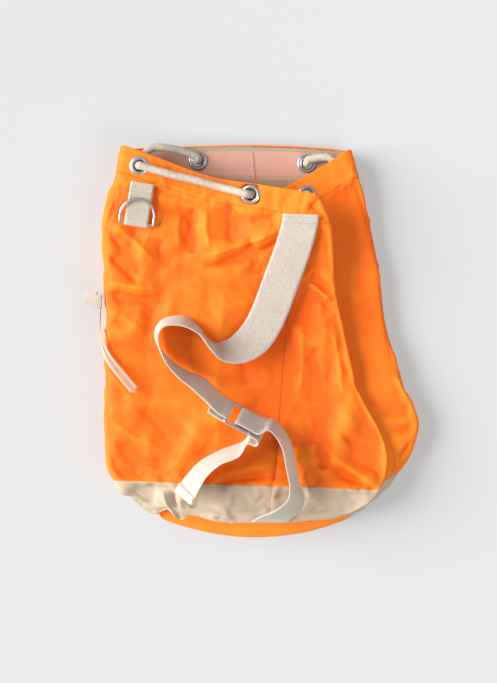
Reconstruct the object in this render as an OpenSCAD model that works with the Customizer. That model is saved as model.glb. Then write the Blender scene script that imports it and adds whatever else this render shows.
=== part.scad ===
// Drawstring bucket bag for stowing rope, lying empty on its back.
// +X runs across the bag, +Y towards its mouth and +Z up from the surface it lies on.

/* [Fabric] */
// Thickness of the outer cloth
cloth_t = 1.2; // [0.8:0.1:1.4]
// Thickness of the lining cloth
lining_t = 0.8; // [0.5:0.1:1]
// Gap between the outer cloth and the lining
cloth_gap = 0.3; // [0.1:0.1:0.4]
// Height of the hem facing inside the mouth
facing_h = 30; // [24:1:36]
// Depth that the empty base folds into the bag
base_tuck = 52; // [20:1:60]

/* [Webbing] */
// Width of the shoulder and anchor webbing
web_w = 38; // [36:1:39]
// Thickness of the webbing
web_t = 1.6; // [1.2:0.1:1.8]
// Width of the D-ring tab
tab_w = 25; // [20:1:28]

/* [Drawcord] */
// Diameter of the drawcord
cord_d = 8; // [6:0.5:8]
// Sides of the cord's tube
cord_sides = 8; // [8:1:12]

/* [Eyelets] */
// Inner radius of an eyelet
eyelet_r = 5.8; // [5:0.1:6]
// Outer radius of an eyelet's flange
flange_r = 10.4; // [9.5:0.1:11]

/* [Metal fittings] */
// Wire radius of the D-ring
ring_wire_r = 1.5; // [1.2:0.1:1.6]
// Width of the D-ring between the centres of its arms
ring_w = 36; // [34:1:38]
// Height of the D-ring between the centres of its bar and crown
ring_h = 26; // [24:1:28]
// Bar radius of the strap buckle
buckle_bar_r = 1.5; // [1.3:0.1:1.6]
// Width of the strap buckle between the centres of its end bars
buckle_w = 43; // [42:1:46]
// Length of the strap buckle between the centres of its outer cross bars
buckle_l = 30; // [28:1:32]

/* [Zip] */
// Width of one zip tape that shows
tape_w = 3; // [2:0.5:4]
// Width of one row of zip teeth
coil_w = 1.3; // [1:0.1:1.5]
// Length of the zip pull
pull_l = 15; // [12:1:16]

/* [Hidden] */

orange = "darkorange";
beige = "tan";
cream = "antiquewhite";
steel = "silver";

// ---- Section of the bag, station by station from the mouth to the base seam ----
// Station 0 is the mouth, 1 the hem stitching, 7 the seam of the bottom band and 9 the base seam.
mouth_s = 0;
hem_s = 1;
band_s = 7;
base_s = 9;
// Left outline, right outline and front fold
left_x = [-135, -140, -151, -154, -153, -152, -150, -142, -120, -100];
right_x = [109, 117, 130, 140, 147, 163, 177, 158, 139, 111];
fold_x = [75, 86, 89, 92, 101, 111, 119, 142, 126, 100];
// Depth of the pleat behind the front fold, and slope of the fabric that runs into it
pleat_d = [64, 64, 60, 50, 40, 26, 12, 2, 0, 0];
pleat_slope = [0.58, 0.5, 0.4, 0.28, 0.15, 0, 0, 0, 0, 0];
// Distance along the bag of the left side, the right side, the fold, the front and the back
left_y = [205, 178, 129, 76, 20, -38, -95, -147, -168, -183];
right_y = [201, 172, 124, 72, 18, -38, -92, -140, -164, -184];
fold_y = [150, 124, 92, 52, 8, -38, -96, -156, -176, -188];
front_y = [173, 147, 104, 56, 6, -44, -98, -151, -175, -192];
back_y = [204, 177, 128, 75, 20, -38, -96, -150, -182, -209];
// Height of the front, the fold, the side behind the pleat and the back
front_z = [43, 43, 44, 45, 46, 46, 45, 41, 38, 32];
fold_z = [59, 57, 49, 44, 42, 41, 38, 34, 30, 26];
side_z = [27, 27, 25, 24, 25, 27, 28, 27, 24, 20];
back_z = [11, 10, 1, 0, 0, 0, 0, 0, 0, 0];
ring_n = 18;
ring_steps = 3;

function mix(a, b, t) = a + (b - a) * t;
function spline(p0, p1, p2, p3, t) =
    0.5 * (2 * p1 + (p2 - p0) * t + (2 * p0 - 5 * p1 + 4 * p2 - p3) * t * t
    + (3 * p1 - p0 - 3 * p2 + p3) * t * t * t);
// Smooth value of a list at a fractional index, open or closed
function along(list, s) =
    let (n = len(list), i = max(0, min(floor(s), n - 2)), t = s - i)
    spline(list[max(i - 1, 0)], list[i], list[i + 1], list[min(i + 2, n - 1)], t);
function around(list, u) =
    let (n = len(list), i = floor(u), t = u - i)
    spline(list[(i - 1 + n) % n], list[i % n], list[(i + 1) % n], list[(i + 2) % n], t);
function unit(v) = v / norm(v);

// Control points of the section at station s, from the back's left end round to the left wall
function section(s) =
    let (
        xl = along(left_x, s), xr = along(right_x, s), xf = along(fold_x, s),
        d = max(along(pleat_d, s), 0), k = along(pleat_slope, s),
        yl = along(left_y, s), yr = along(right_y, s), yf = along(fold_y, s),
        ym = along(front_y, s), yb = along(back_y, s),
        zt = along(front_z, s), zf = along(fold_z, s), zr = along(side_z, s),
        zb = max(along(back_z, s), 0), q = min(d / 24, 1),
        pleated = [
            [xr - 6, yr, zr],
            [xf - 2, yr - k * (xr - xf), zr - 1],
            [xf - d, yr - k * (xr - xf + d), mix(zr, zf, 0.25)],
            [xf - 10, yf, min(mix(zr, zf, 0.5), zf - 9)],
            [xf, yf, zf - 5],
            [xf - 10, yf + 5 * max(1 - s, 0), zf]
        ],
        plain = [for (i = [0:5])
            [xr - 2 - 5 * i, mix(yr, yf, i / 5), mix(0.55, 0.97, i / 5) * zt]]
    )
    concat(
        [
            [xl + 14, mix(yl, yb, 0.35), zb],
            [mix(xl, xr, 0.3), mix(yl, yb, 0.85), zb],
            [mix(xl, xr, 0.52), yb, zb],
            [mix(xl, xr, 0.75), mix(yr, yb, 0.8), zb],
            [xr - 11, mix(yr, yb, 0.3), zb],
            [xr, yr, mix(zb, zr, 0.55)]
        ],
        [for (i = [0:5]) mix(plain[i], pleated[i], q)],
        [
            [mix(xf, xl, 0.3), mix(yf, ym, 0.6), max(zt, mix(zt, zf, 0.6))],
            [mix(xf, xl, 0.55), ym, zt],
            [mix(xf, xl, 0.8), mix(ym, yl, 0.6), zt - 1],
            [xl + 7, yl, zt - 5],
            [xl, yl, 0.6 * zt],
            [xl + 4, yl, zb + 8]
        ]
    );
// Direction into the bag, across the section at point u
function inward(s, u) =
    let (c = section(s), a = around(c, (u - 0.2 + ring_n) % ring_n), b = around(c, (u + 0.2) % ring_n))
    unit([a[2] - b[2], 0, b[0] - a[0]]);
// Point of the bag at station s and section place u, a distance in from the outer face
function bag_point(s, u, in) =
    let (p = around(section(s), (u + ring_n) % ring_n) + in * inward(s, (u + ring_n) % ring_n))
    [p[0], p[1], max(p[2], in)];
function bag_ring(s, in) =
    [for (i = [0:ring_n * ring_steps - 1]) bag_point(s, i / ring_steps, in)];

// ---- Solids from grids of points ----
// Closed solid between two matching grids; looped joins the last column to the first
module skin_solid(a, b, looped) {
    rows = len(a);
    cols = len(a[0]);
    last = looped ? cols - 1 : cols - 2;
    function id(side, r, c) = side * rows * cols + r * cols + c % cols;
    function quad(p, q, r, s) = [[p, r, q], [p, s, r]];
    polyhedron(
        concat([for (row = a) each row], [for (row = b) each row]),
        concat(
            [for (r = [0:rows - 2], c = [0:last]) each
                quad(id(0, r, c), id(0, r, c + 1), id(0, r + 1, c + 1), id(0, r + 1, c))],
            [for (r = [0:rows - 2], c = [0:last]) each
                quad(id(1, r, c), id(1, r + 1, c), id(1, r + 1, c + 1), id(1, r, c + 1))],
            [for (c = [0:last]) each quad(id(0, 0, c), id(1, 0, c), id(1, 0, c + 1), id(0, 0, c + 1))],
            [for (c = [0:last]) each quad(id(0, rows - 1, c), id(0, rows - 1, c + 1),
                id(1, rows - 1, c + 1), id(1, rows - 1, c))],
            looped ? [] : [for (r = [0:rows - 2]) each
                quad(id(0, r, 0), id(0, r + 1, 0), id(1, r + 1, 0), id(1, r, 0))],
            looped ? [] : [for (r = [0:rows - 2]) each
                quad(id(0, r, cols - 1), id(1, r, cols - 1), id(1, r + 1, cols - 1), id(0, r + 1, cols - 1))]
        )
    );
}
// Tube of cloth through a list of stations, between two distances in from the outer face
module cloth_tube(stations, in0, in1) {
    skin_solid([for (s = stations) bag_ring(s, in0)], [for (s = stations) bag_ring(s, in1)], true);
}
// Patch of cloth on the inside of the bag
module cloth_patch(stations, places, in0, in1) {
    skin_solid(
        [for (s = stations) [for (u = places) bag_point(s, u, in0)]],
        [for (s = stations) [for (u = places) bag_point(s, u, in1)]],
        false
    );
}

// ---- Bag ----
lining_in = cloth_t + cloth_gap;
facing_end_s = hem_s * facing_h / 27;

module outer_cloth() {
    cloth_tube([mouth_s:0.5:band_s], 0, cloth_t);
}
module body_panel() {
    color(orange) difference() {
        outer_cloth();
        for (e = eyelets) eyelet_room(e);
    }
}
module bottom_band() {
    color(beige) cloth_tube([band_s + 0.02, for (s = [band_s + 0.5:0.5:base_s]) s], 0, cloth_t);
}
module hem_facing() {
    color("lightsalmon") difference() {
        cloth_tube([mouth_s + 0.05, 0.5, 1, facing_end_s], lining_in, lining_in + lining_t);
        for (e = eyelets) eyelet_room(e);
    }
}
module lining() {
    color(beige) cloth_tube(
        [facing_end_s + 0.03, for (s = [1.5:0.5:band_s]) s],
        lining_in, lining_in + lining_t
    );
}
// Sheet across the base: it starts at the back seam, folds into the bag and ends at the front seam
function base_point(t, w, in) =
    let (low = bag_point(base_s, 17 + 6 * t, in), high = bag_point(base_s, 17 - 12 * t, in))
    mix(low, high, w) + [0, base_tuck * sin(180 * t) * 4 * w * (1 - w), 0];
function base_normal(t, w, in) =
    let (a = base_point(t, max(w - 0.02, 0), in), b = base_point(t, min(w + 0.02, 1), in))
    unit([0, b[2] - a[2], a[1] - b[1]]);
base_in = 2 * cloth_t + 2 * lining_t + 4 * cloth_gap;
module base_sheet(in, lift0, lift1) {
    across = [for (i = [1:19]) i / 20];
    up = [for (j = [0:10]) j / 10];
    skin_solid(
        [for (w = up) [for (t = across) base_point(t, w, in) + lift0 * base_normal(t, w, in)]],
        [for (w = up) [for (t = across) base_point(t, w, in) + lift1 * base_normal(t, w, in)]],
        false
    );
}
module base_disc() {
    color(orange) base_sheet(base_in, 0, cloth_t);
}
module base_lining() {
    color(beige) base_sheet(base_in, cloth_t + cloth_gap, cloth_t + cloth_gap + lining_t);
}
// Tape over the allowance of the body panel's one upright seam
seam_u = [11.45, 11.5, 11.6, 11.8, 12, 12.1, 12.3, 12.5, 12.6, 12.6];
seam_tape_half = 0.07;
module seam_tape() {
    color(beige) skin_solid(
        [for (s = [1.25:0.5:8.25]) [for (k = [-1, 1])
            bag_point(s, along(seam_u, s) + k * seam_tape_half, lining_in + lining_t + 0.3)]],
        [for (s = [1.25:0.5:8.25]) [for (k = [-1, 1])
            bag_point(s, along(seam_u, s) + k * seam_tape_half, lining_in + lining_t + 0.9)]],
        false
    );
}
module zip_pocket() {
    color(beige) cloth_patch([3:0.5:6], [14:0.5:17], lining_in + lining_t + 0.4, lining_in + lining_t + 2);
}

// ---- Eyelets: station, place on the section, and turn about the bag's length ----
eyelets = [[0.65, 14.5], [0.55, 12.25], [0.75, 8.6], [0.75, 7.3], [0.6, 3.2], [0.55, 1.15]];
// Direction out of the bag, square to the cloth both ways
function outward(s, u) =
    unit(cross(bag_point(s, u + 0.2, 0) - bag_point(s, u - 0.2, 0), bag_point(s + 0.2, u, 0) - bag_point(s - 0.2, u, 0)));
// Puts the origin on the inner face at an eyelet, with z pointing out of the bag
module eyelet_place(e) {
    out = outward(e[0], e[1]);
    translate(bag_point(e[0], e[1], 0) - cloth_t * out) rotate([0, acos(out[2]), atan2(out[1], out[0])]) children();
}
flange_lift = 1.5;
// Room for an eyelet's barrel and flanges through the cloth
module eyelet_room(e) {
    eyelet_place(e) {
        cylinder(h = 16, r = eyelet_r + 0.9, center = true, $fn = 24);
        translate([0, 0, flange_lift - 0.1]) cylinder(h = 5, r = flange_r + 0.1, $fn = 32);
        translate([0, 0, -6]) cylinder(h = 4.95, r = flange_r - 0.4, $fn = 32);
    }
}
module eyelet(i) {
    color(steel) eyelet_place(eyelets[i]) rotate_extrude($fn = 32) difference() {
        union() {
            translate([eyelet_r, -1.6]) square([0.8, 1.6 + flange_lift]);
            translate([eyelet_r, flange_lift]) square([flange_r - 0.5 - eyelet_r, 0.6]);
            translate([mix(eyelet_r, flange_r, 0.5), flange_lift + 0.2])
                scale([(flange_r - eyelet_r) / 1.6, 1]) circle(r = 0.8, $fn = 12);
        }
        translate([0, -3]) square([eyelet_r, 8]);
        translate([eyelet_r + 0.8, -3]) square([8, 3 + flange_lift]);
    }
}
module washer(i) {
    color(steel) eyelet_place(eyelets[i]) translate([0, 0, -1.8]) difference() {
        cylinder(h = 0.7, r = flange_r - 0.6, $fn = 32);
        translate([0, 0, -1]) cylinder(h = 3, r = eyelet_r + 0.85, $fn = 32);
    }
}

// ---- Drawcord: one closed loop, out and in through the eyelets ----
function eyelet_at(i, h) = bag_point(eyelets[i][0], eyelets[i][1], 0) + h * outward(eyelets[i][0], eyelets[i][1]);
// Three points that leave eyelet i to one side (1 out, -1 in) and bend towards a heading
function bend(i, side, heading) =
    let (d = [cos(heading), sin(heading), 0])
    let (m = side > 0 ? 0.3 : -1.7)
    [eyelet_at(i, side * 2 + m), eyelet_at(i, side * 4.7 + m) + 1.3 * d, eyelet_at(i, side * 5.7 + m) + 5 * d];
function turned(list) = [for (i = [len(list) - 1:-1:0]) list[i]];
join = [4, 193, 4.9];
join_heading = atan2(eyelet_at(5, 0)[1] - eyelet_at(4, 0)[1], eyelet_at(5, 0)[0] - eyelet_at(4, 0)[0]);
join_dir = [cos(join_heading), sin(join_heading), 0];
cord_path = concat(
    [join + 0.2 * join_dir, join + 14 * join_dir],
    turned(bend(5, 1, 0)),
    bend(5, -1, 120),
    [[-72, 202, 22], [-88, 205, 27], [-103, 204, 29]],
    turned(bend(0, -1, 100)),
    bend(0, 1, -14),
    [[-80, 175, 47.4], [-55, 169, 47.4], [-30, 162, 48.4]],
    turned(bend(1, 1, 166)),
    bend(1, -1, -22),
    turned(bend(2, -1, 158)),
    bend(2, 1, 65),
    turned(bend(3, 1, -115)),
    bend(3, -1, 30),
    [[82, 172, 19], [93, 186, 19], [84, 195, 19]],
    turned(bend(4, -1, 50)),
    bend(4, 1, 180),
    [join - 14 * join_dir, join - 0.2 * join_dir]
);
// Tube of circles carried along a path without twisting
module tube(path, r, sides, steps) {
    n = (len(path) - 1) * steps;
    c = [for (i = [0:n]) along(path, i / steps)];
    t = [for (i = [0:n]) unit(c[min(i + 1, n)] - c[max(i - 1, 0)])];
    start = unit(cross(t[0], [0, 0, 1]));
    e = [for (i = 0, v = start; i <= n; i = i + 1, v = i > n ? v : unit(v - (v * t[i]) * t[i])) v];
    rings = [for (i = [0:n]) [for (k = [0:sides - 1])
        let (a = -360 * k / sides) c[i] + r * (cos(a) * e[i] + sin(a) * cross(t[i], e[i]))]];
    skin_rings(rings);
}
// Closed solid through a row of rings, with flat ends
module skin_rings(rings) {
    n = len(rings);
    m = len(rings[0]);
    polyhedron(
        [for (ring = rings) each ring],
        concat(
            [[for (k = [m - 1:-1:0]) k]],
            [[for (k = [0:m - 1]) (n - 1) * m + k]],
            [for (i = [0:n - 2], k = [0:m - 1]) [i * m + k, i * m + (k + 1) % m, (i + 1) * m + (k + 1) % m]],
            [for (i = [0:n - 2], k = [0:m - 1]) [i * m + k, (i + 1) * m + (k + 1) % m, (i + 1) * m + k]]
        )
    );
}
module drawcord() {
    color(cream) tube(cord_path, cord_d / 2, cord_sides, 3);
}
module cord_sleeve() {
    color(beige) translate(join) rotate([0, 90, join_heading]) difference() {
        cylinder(h = 24, r = 4.85, center = true, $fn = 32);
        cylinder(h = 26, r = 4.15, center = true, $fn = 32);
    }
}

// ---- Webbing: stations of [x, y, z, heading, tilt], where the last two aim across the webbing ----
function across(h, t) = [cos(h) * cos(t), sin(h) * cos(t), sin(t)];
function place(p) = [[p[0], p[1], p[2]], across(p[3], p[4])];
// Solid webbing between two distances from its centreline
module webbing(stations, lo, hi, t, steps) {
    n = (len(stations) - 1) * steps;
    c = [for (i = [0:n]) along([for (p = stations) p[0]], i / steps)];
    a = [for (i = [0:n]) unit(along([for (p = stations) p[1]], i / steps))];
    up = [for (i = [0:n]) unit(cross(c[min(i + 1, n)] - c[max(i - 1, 0)], a[i]))];
    skin_rings([for (i = [0:n]) [
        c[i] + lo * a[i] - t / 2 * up[i], c[i] + lo * a[i] + t / 2 * up[i],
        c[i] + hi * a[i] + t / 2 * up[i], c[i] + hi * a[i] - t / 2 * up[i]
    ]]);
}

// ---- Strap buckle ----
buckle_at = [-8, -80, 69];
buckle_heading = -28;
buckle_tilt = 118;
buckle_x = [cos(buckle_heading), sin(buckle_heading), 0];
buckle_y = across(buckle_heading + 90, buckle_tilt);
buckle_z = cross(buckle_x, buckle_y);
wrap_r = buckle_bar_r + 0.5 + web_t / 2;
// Webbing station at a distance along the buckle and off its plane
function in_buckle(x, z) = [buckle_at + x * buckle_x + z * buckle_z, buckle_y];
module strap_buckle() {
    side_r = buckle_bar_r + 0.2;
    color(steel) translate(buckle_at) rotate([0, 0, buckle_heading]) rotate([buckle_tilt, 0, 0]) {
        for (x = [-1, 0, 1]) translate([x * buckle_l / 2, 0, 0]) rotate([90, 0, 0])
            cylinder(h = buckle_w, r = buckle_bar_r, center = true, $fn = 16);
        for (y = [-1, 1]) translate([0, y * buckle_w / 2, 0]) rotate([0, 90, 0])
            cylinder(h = buckle_l + 2 * side_r, r = side_r, center = true, $fn = 16);
    }
}
shoulder_free = [
    [54.5, 133, 58.8, -2, 5], [54, 125, 57.6, -3, 5], [49, 105, 52.8, -10, 3], [42, 84, 49, -15, 0],
    [33, 60, 47.4, -19, 0], [25, 38, 47.6, -19, 0], [16, 18, 48.8, -20, 4], [4, 1, 53.6, -35, 16],
    [-12, -9, 60, -62, 38], [-30, -11, 64.6, -68, 58], [-42, -2, 65.8, -64, 66], [-52, 12, 65.6, -68, 70],
    [-64, 20, 65.4, -84, 72], [-78, 22, 65.2, -100, 74], [-90, 18.5, 65, -65, 78], [-96, 8, 65, -18, 82],
    [-93, -6, 65.3, 18, 88], [-84, -20, 65.4, 38, 97], [-70, -33, 65.6, 46, 106], [-54, -43, 66, 55, 114],
    [-42, -53, 67, 61, 117]
];
shoulder_path = concat(
    [for (p = shoulder_free) place(p)],
    [
        in_buckle(-24, -wrap_r), in_buckle(-buckle_l / 2, -wrap_r),
        in_buckle(-buckle_l / 2 + wrap_r, 0), in_buckle(-buckle_l / 2, wrap_r),
        in_buckle(-20, 2.2), in_buckle(-34, 1)
    ]
);
module shoulder_strap() {
    color(cream) webbing(shoulder_path, -web_w / 2, web_w / 2, web_t, 2);
}
anchor_path = concat(
    [
        place([-68, -164, 56.5, 146, 127]), place([-60, -150, 59.5, 132, 122]),
        place([-48, -134, 61.6, 112, 117]), place([-30, -121, 63.6, 92, 112]),
        place([-8, -112, 65.4, 78, 112]), in_buckle(18, 13), in_buckle(26, 11), in_buckle(28, 7.5),
        in_buckle(25, 4), in_buckle(15, wrap_r), in_buckle(0, wrap_r), in_buckle(-wrap_r, 0),
        in_buckle(0, -wrap_r), in_buckle(15, -wrap_r), in_buckle(24, -3.5)
    ],
    [for (p = [
        [24, -87, 66.4, 55, 110], [33, -96, 65.4, 40, 107], [39.5, -108, 64.4, 25, 107],
        [43, -122, 63.4, 14, 107], [46, -138, 62, 8, 107], [48.5, -152, 60.8, 8, 108],
        [49, -165, 57.6, 6, 120], [41, -177, 50.4, 2, 142], [30, -184, 41.6, 0, 168], [22, -190, 36, 0, 180]
    ]) place(p)]
);
module anchor_strap() {
    color(cream) webbing(anchor_path, -web_w / 2, web_w / 2, web_t, 2);
}

// ---- D-ring on its tab ----
ring_at = [-118, 124, 46.9];
tab_turn = -9;
tab_pitch = -1;
tab_l = 43;
tab_t = 3.4;
bar_gap = 0.4;
module at_tab() {
    translate(ring_at) rotate([0, 0, tab_turn]) rotate([tab_pitch, 0, 0]) children();
}
module dring_tab() {
    loop_r = ring_wire_r + bar_gap + web_t;
    color(cream) at_tab() difference() {
        rotate([90, 0, 90]) linear_extrude(tab_w, center = true) union() {
            hull() {
                circle(r = loop_r, $fn = 32);
                translate([16, -loop_r]) square([1, tab_t]);
            }
            translate([16, -loop_r]) square([tab_l - 16, tab_t]);
        }
        rotate([0, 90, 0]) cylinder(h = tab_w + 2, r = ring_wire_r + bar_gap, center = true, $fn = 32);
    }
}
ring_rest = 6;
module d_ring() {
    arm = ring_h - ring_w / 2;
    color(steel) at_tab() rotate([ring_rest, 0, 0]) {
        rotate([0, 90, 0]) cylinder(h = ring_w, r = ring_wire_r, center = true, $fn = 32);
        for (x = [-1, 1]) translate([x * ring_w / 2, 0, 0]) {
            sphere(r = ring_wire_r, $fn = 16);
            rotate([-90, 0, 0]) cylinder(h = arm, r = ring_wire_r, $fn = 32);
        }
        translate([0, arm, 0]) rotate_extrude(angle = 180, $fn = 48)
            translate([ring_w / 2, 0]) circle(r = ring_wire_r, $fn = 16);
    }
}

// ---- Side zip: straight up the left wall, then over the shoulder on to the front ----
zip_low = [-157, 46, 8];
zip_rise = 34;
zip_path = [for (p = [
    [zip_low[0], zip_low[1], zip_low[2], 90, 90 - zip_rise],
    [zip_low[0], zip_low[1] - 38 * cos(zip_rise), zip_low[2] + 38 * sin(zip_rise), 90, 90 - zip_rise],
    [-155, 2, 38, 80, 44], [-149, -14, 46, 60, 22], [-140, -27, 48.6, 45, 5],
    [-130, -39, 49.4, 38, 0], [-120, -51, 49.6, 38, 0]
]) place(p)];
tape_t = 0.6;
coil_gap = 0.1;
module zip_tape_front() {
    color(cream) webbing(zip_path, coil_w + 2 * coil_gap, coil_w + tape_w, tape_t, 4);
}
module zip_tape_rear() {
    color(cream) webbing(zip_path, -coil_w - tape_w, -coil_w - 2 * coil_gap, tape_t, 4);
}
module zip_teeth_front() {
    color(cream) webbing(zip_path, coil_gap, coil_gap + coil_w, 1.4, 4);
}
module zip_teeth_rear() {
    color(cream) webbing(zip_path, -coil_gap - coil_w, -coil_gap, 1.4, 4);
}
// Frame on the straight part of the zip: x up the zip, y across it and z out of the bag
module on_zip(d) {
    translate([zip_low[0], zip_low[1] - d * cos(zip_rise), zip_low[2] + d * sin(zip_rise)])
        rotate([0, -90, 0]) rotate([0, 0, zip_rise - 90]) children();
}
module zip_end_stop() {
    color(steel) translate(zip_path[6][0] + [0.8, -1, 0]) rotate([0, 0, -52]) cube([2, 4.4, 2.4], center = true);
}
module zip_top_stop() {
    color(steel) on_zip(-1.4) cube([1.6, 4.4, 2.4], center = true);
}
// Slider: a plate over the teeth, a side wall along each row and lugs for the pull's pin
slider_at = 7;
pin_up = 4.4;
pin_r = 0.7;
pull_w = 3;
module zip_slider() {
    color(steel) on_zip(slider_at) {
        translate([-5, -3.4, 1.2]) cube([10, 6.8, 1]);
        for (y = [-1, 1]) translate([0, y * 2.7, 1.3]) cube([10, 1.4, 1.2], center = true);
        for (y = [-1, 1]) translate([0, y * 2.6, 3.6]) cube([2.6, 1.2, 3.4], center = true);
        translate([0, 0, pin_up]) rotate([90, 0, 0]) cylinder(h = 5.4, r = pin_r, center = true, $fn = 24);
    }
}
module zip_pull() {
    color(steel) on_zip(slider_at) translate([0, 0, pin_up]) difference() {
        union() {
            rotate([90, 0, 0]) cylinder(h = pull_w, r = 1.8, center = true, $fn = 32);
            translate([-pull_l, -pull_w / 2, -0.6]) cube([pull_l - 1, pull_w, 1.2]);
        }
        rotate([90, 0, 0]) cylinder(h = pull_w + 2, r = pin_r + 0.35, center = true, $fn = 24);
        translate([2 - pull_l, 0, 0]) cylinder(h = 4, r = 0.8, center = true, $fn = 24);
    }
}
module side_label() {
    color("ivory") webbing([for (p = [
        [-155, 41, 30, 90, 48], [-160, 42.5, 29.6, 84, 48], [-166, 45, 28.5, 78, 48], [-172, 47.5, 27, 74, 46]
    ]) place(p)], -9.5, 9.5, 0.8, 3);
}

body_panel();
bottom_band();
base_disc();
hem_facing();
lining();
base_lining();
seam_tape();
zip_pocket();
eyelet(0);  // eyelet_front_left
eyelet(1);  // eyelet_front_right
eyelet(2);  // eyelet_pleat_upper
eyelet(3);  // eyelet_pleat_lower
eyelet(4);  // eyelet_back_right
eyelet(5);  // eyelet_back_left
washer(0);  // washer_front_left
washer(1);  // washer_front_right
washer(2);  // washer_pleat_upper
washer(3);  // washer_pleat_lower
washer(4);  // washer_back_right
washer(5);  // washer_back_left
drawcord();
cord_sleeve();
dring_tab();
d_ring();
shoulder_strap();
anchor_strap();
strap_buckle();
zip_tape_front();
zip_tape_rear();
zip_teeth_front();
zip_teeth_rear();
zip_end_stop();
zip_top_stop();
zip_slider();
zip_pull();
side_label();
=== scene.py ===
"""Looks for the drawstring bucket bag: cloth, webbing, braid, stitching, metal, light and camera."""

import math

import bmesh
import bpy
import numpy as np
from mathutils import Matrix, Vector


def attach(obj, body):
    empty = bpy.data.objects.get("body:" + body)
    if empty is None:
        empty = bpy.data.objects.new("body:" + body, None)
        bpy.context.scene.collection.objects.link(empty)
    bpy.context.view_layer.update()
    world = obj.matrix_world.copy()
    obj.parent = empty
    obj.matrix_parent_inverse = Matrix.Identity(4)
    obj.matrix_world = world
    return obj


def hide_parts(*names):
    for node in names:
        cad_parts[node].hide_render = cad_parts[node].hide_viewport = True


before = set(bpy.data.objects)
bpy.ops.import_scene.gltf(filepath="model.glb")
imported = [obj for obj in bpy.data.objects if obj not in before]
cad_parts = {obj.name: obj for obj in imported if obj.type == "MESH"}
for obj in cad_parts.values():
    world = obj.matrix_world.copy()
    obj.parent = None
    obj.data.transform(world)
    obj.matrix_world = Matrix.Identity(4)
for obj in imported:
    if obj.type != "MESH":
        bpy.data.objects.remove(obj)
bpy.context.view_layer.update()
scene = bpy.context.scene
MM = 0.001
V = np.array


# ---- the bag's shape, as in the CAD part (mm)
LEFT_X = [-135, -140, -151, -154, -153, -152, -150, -142, -120, -100]
RIGHT_X = [109, 117, 130, 140, 147, 163, 177, 158, 139, 111]
FOLD_X = [75, 86, 89, 92, 101, 111, 119, 142, 126, 100]
PLEAT_D = [64, 64, 60, 50, 40, 26, 12, 2, 0, 0]
PLEAT_SLOPE = [0.58, 0.5, 0.4, 0.28, 0.15, 0, 0, 0, 0, 0]
LEFT_Y = [205, 178, 129, 76, 20, -38, -95, -147, -168, -183]
RIGHT_Y = [201, 172, 124, 72, 18, -38, -92, -140, -164, -184]
FOLD_Y = [150, 124, 92, 52, 8, -38, -96, -156, -176, -188]
FRONT_Y = [173, 147, 104, 56, 6, -44, -98, -151, -175, -192]
BACK_Y = [204, 177, 128, 75, 20, -38, -96, -150, -182, -209]
FRONT_Z = [43, 43, 44, 45, 46, 46, 45, 41, 38, 32]
FOLD_Z = [59, 57, 49, 44, 42, 41, 38, 34, 30, 26]
SIDE_Z = [27, 27, 25, 24, 25, 27, 28, 27, 24, 20]
BACK_Z = [11, 10, 1, 0, 0, 0, 0, 0, 0, 0]
RING = 18
BAND_S, BASE_S = 7.0, 9.0  # stations of the band's seam and of the base's
BODY_RUN, BAND_RUN = 53, 26  # mean millimetres between stations above and below the band's seam
CLOTH_T, LINING_T, GAP = 1.2, 0.8, 0.3
INNER_FACE = CLOTH_T + GAP
FRONT_U = (10.6, 16.6)  # places across the front of the lower edge


def catmull(p0, p1, p2, p3, t):
    return 0.5 * (2 * p1 + (p2 - p0) * t + (2 * p0 - 5 * p1 + 4 * p2 - p3) * t**2
        + (3 * p1 - p0 - 3 * p2 + p3) * t**3)


def along(values, s):
    v, s = np.asarray(values, float), np.atleast_1d(np.asarray(s, float))
    n = len(v)
    i = np.clip(np.floor(s).astype(int), 0, n - 2)
    t = s - i
    if v.ndim > 1:
        t = t.reshape((-1,) + (1,) * (v.ndim - 1))
    return catmull(v[np.maximum(i - 1, 0)], v[i], v[i + 1], v[np.minimum(i + 2, n - 1)], t)


def mix(a, b, t):
    return a + (b - a) * t


def unit(v):
    return v / np.maximum(np.linalg.norm(v, axis=-1, keepdims=True), 1e-9)


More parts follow.
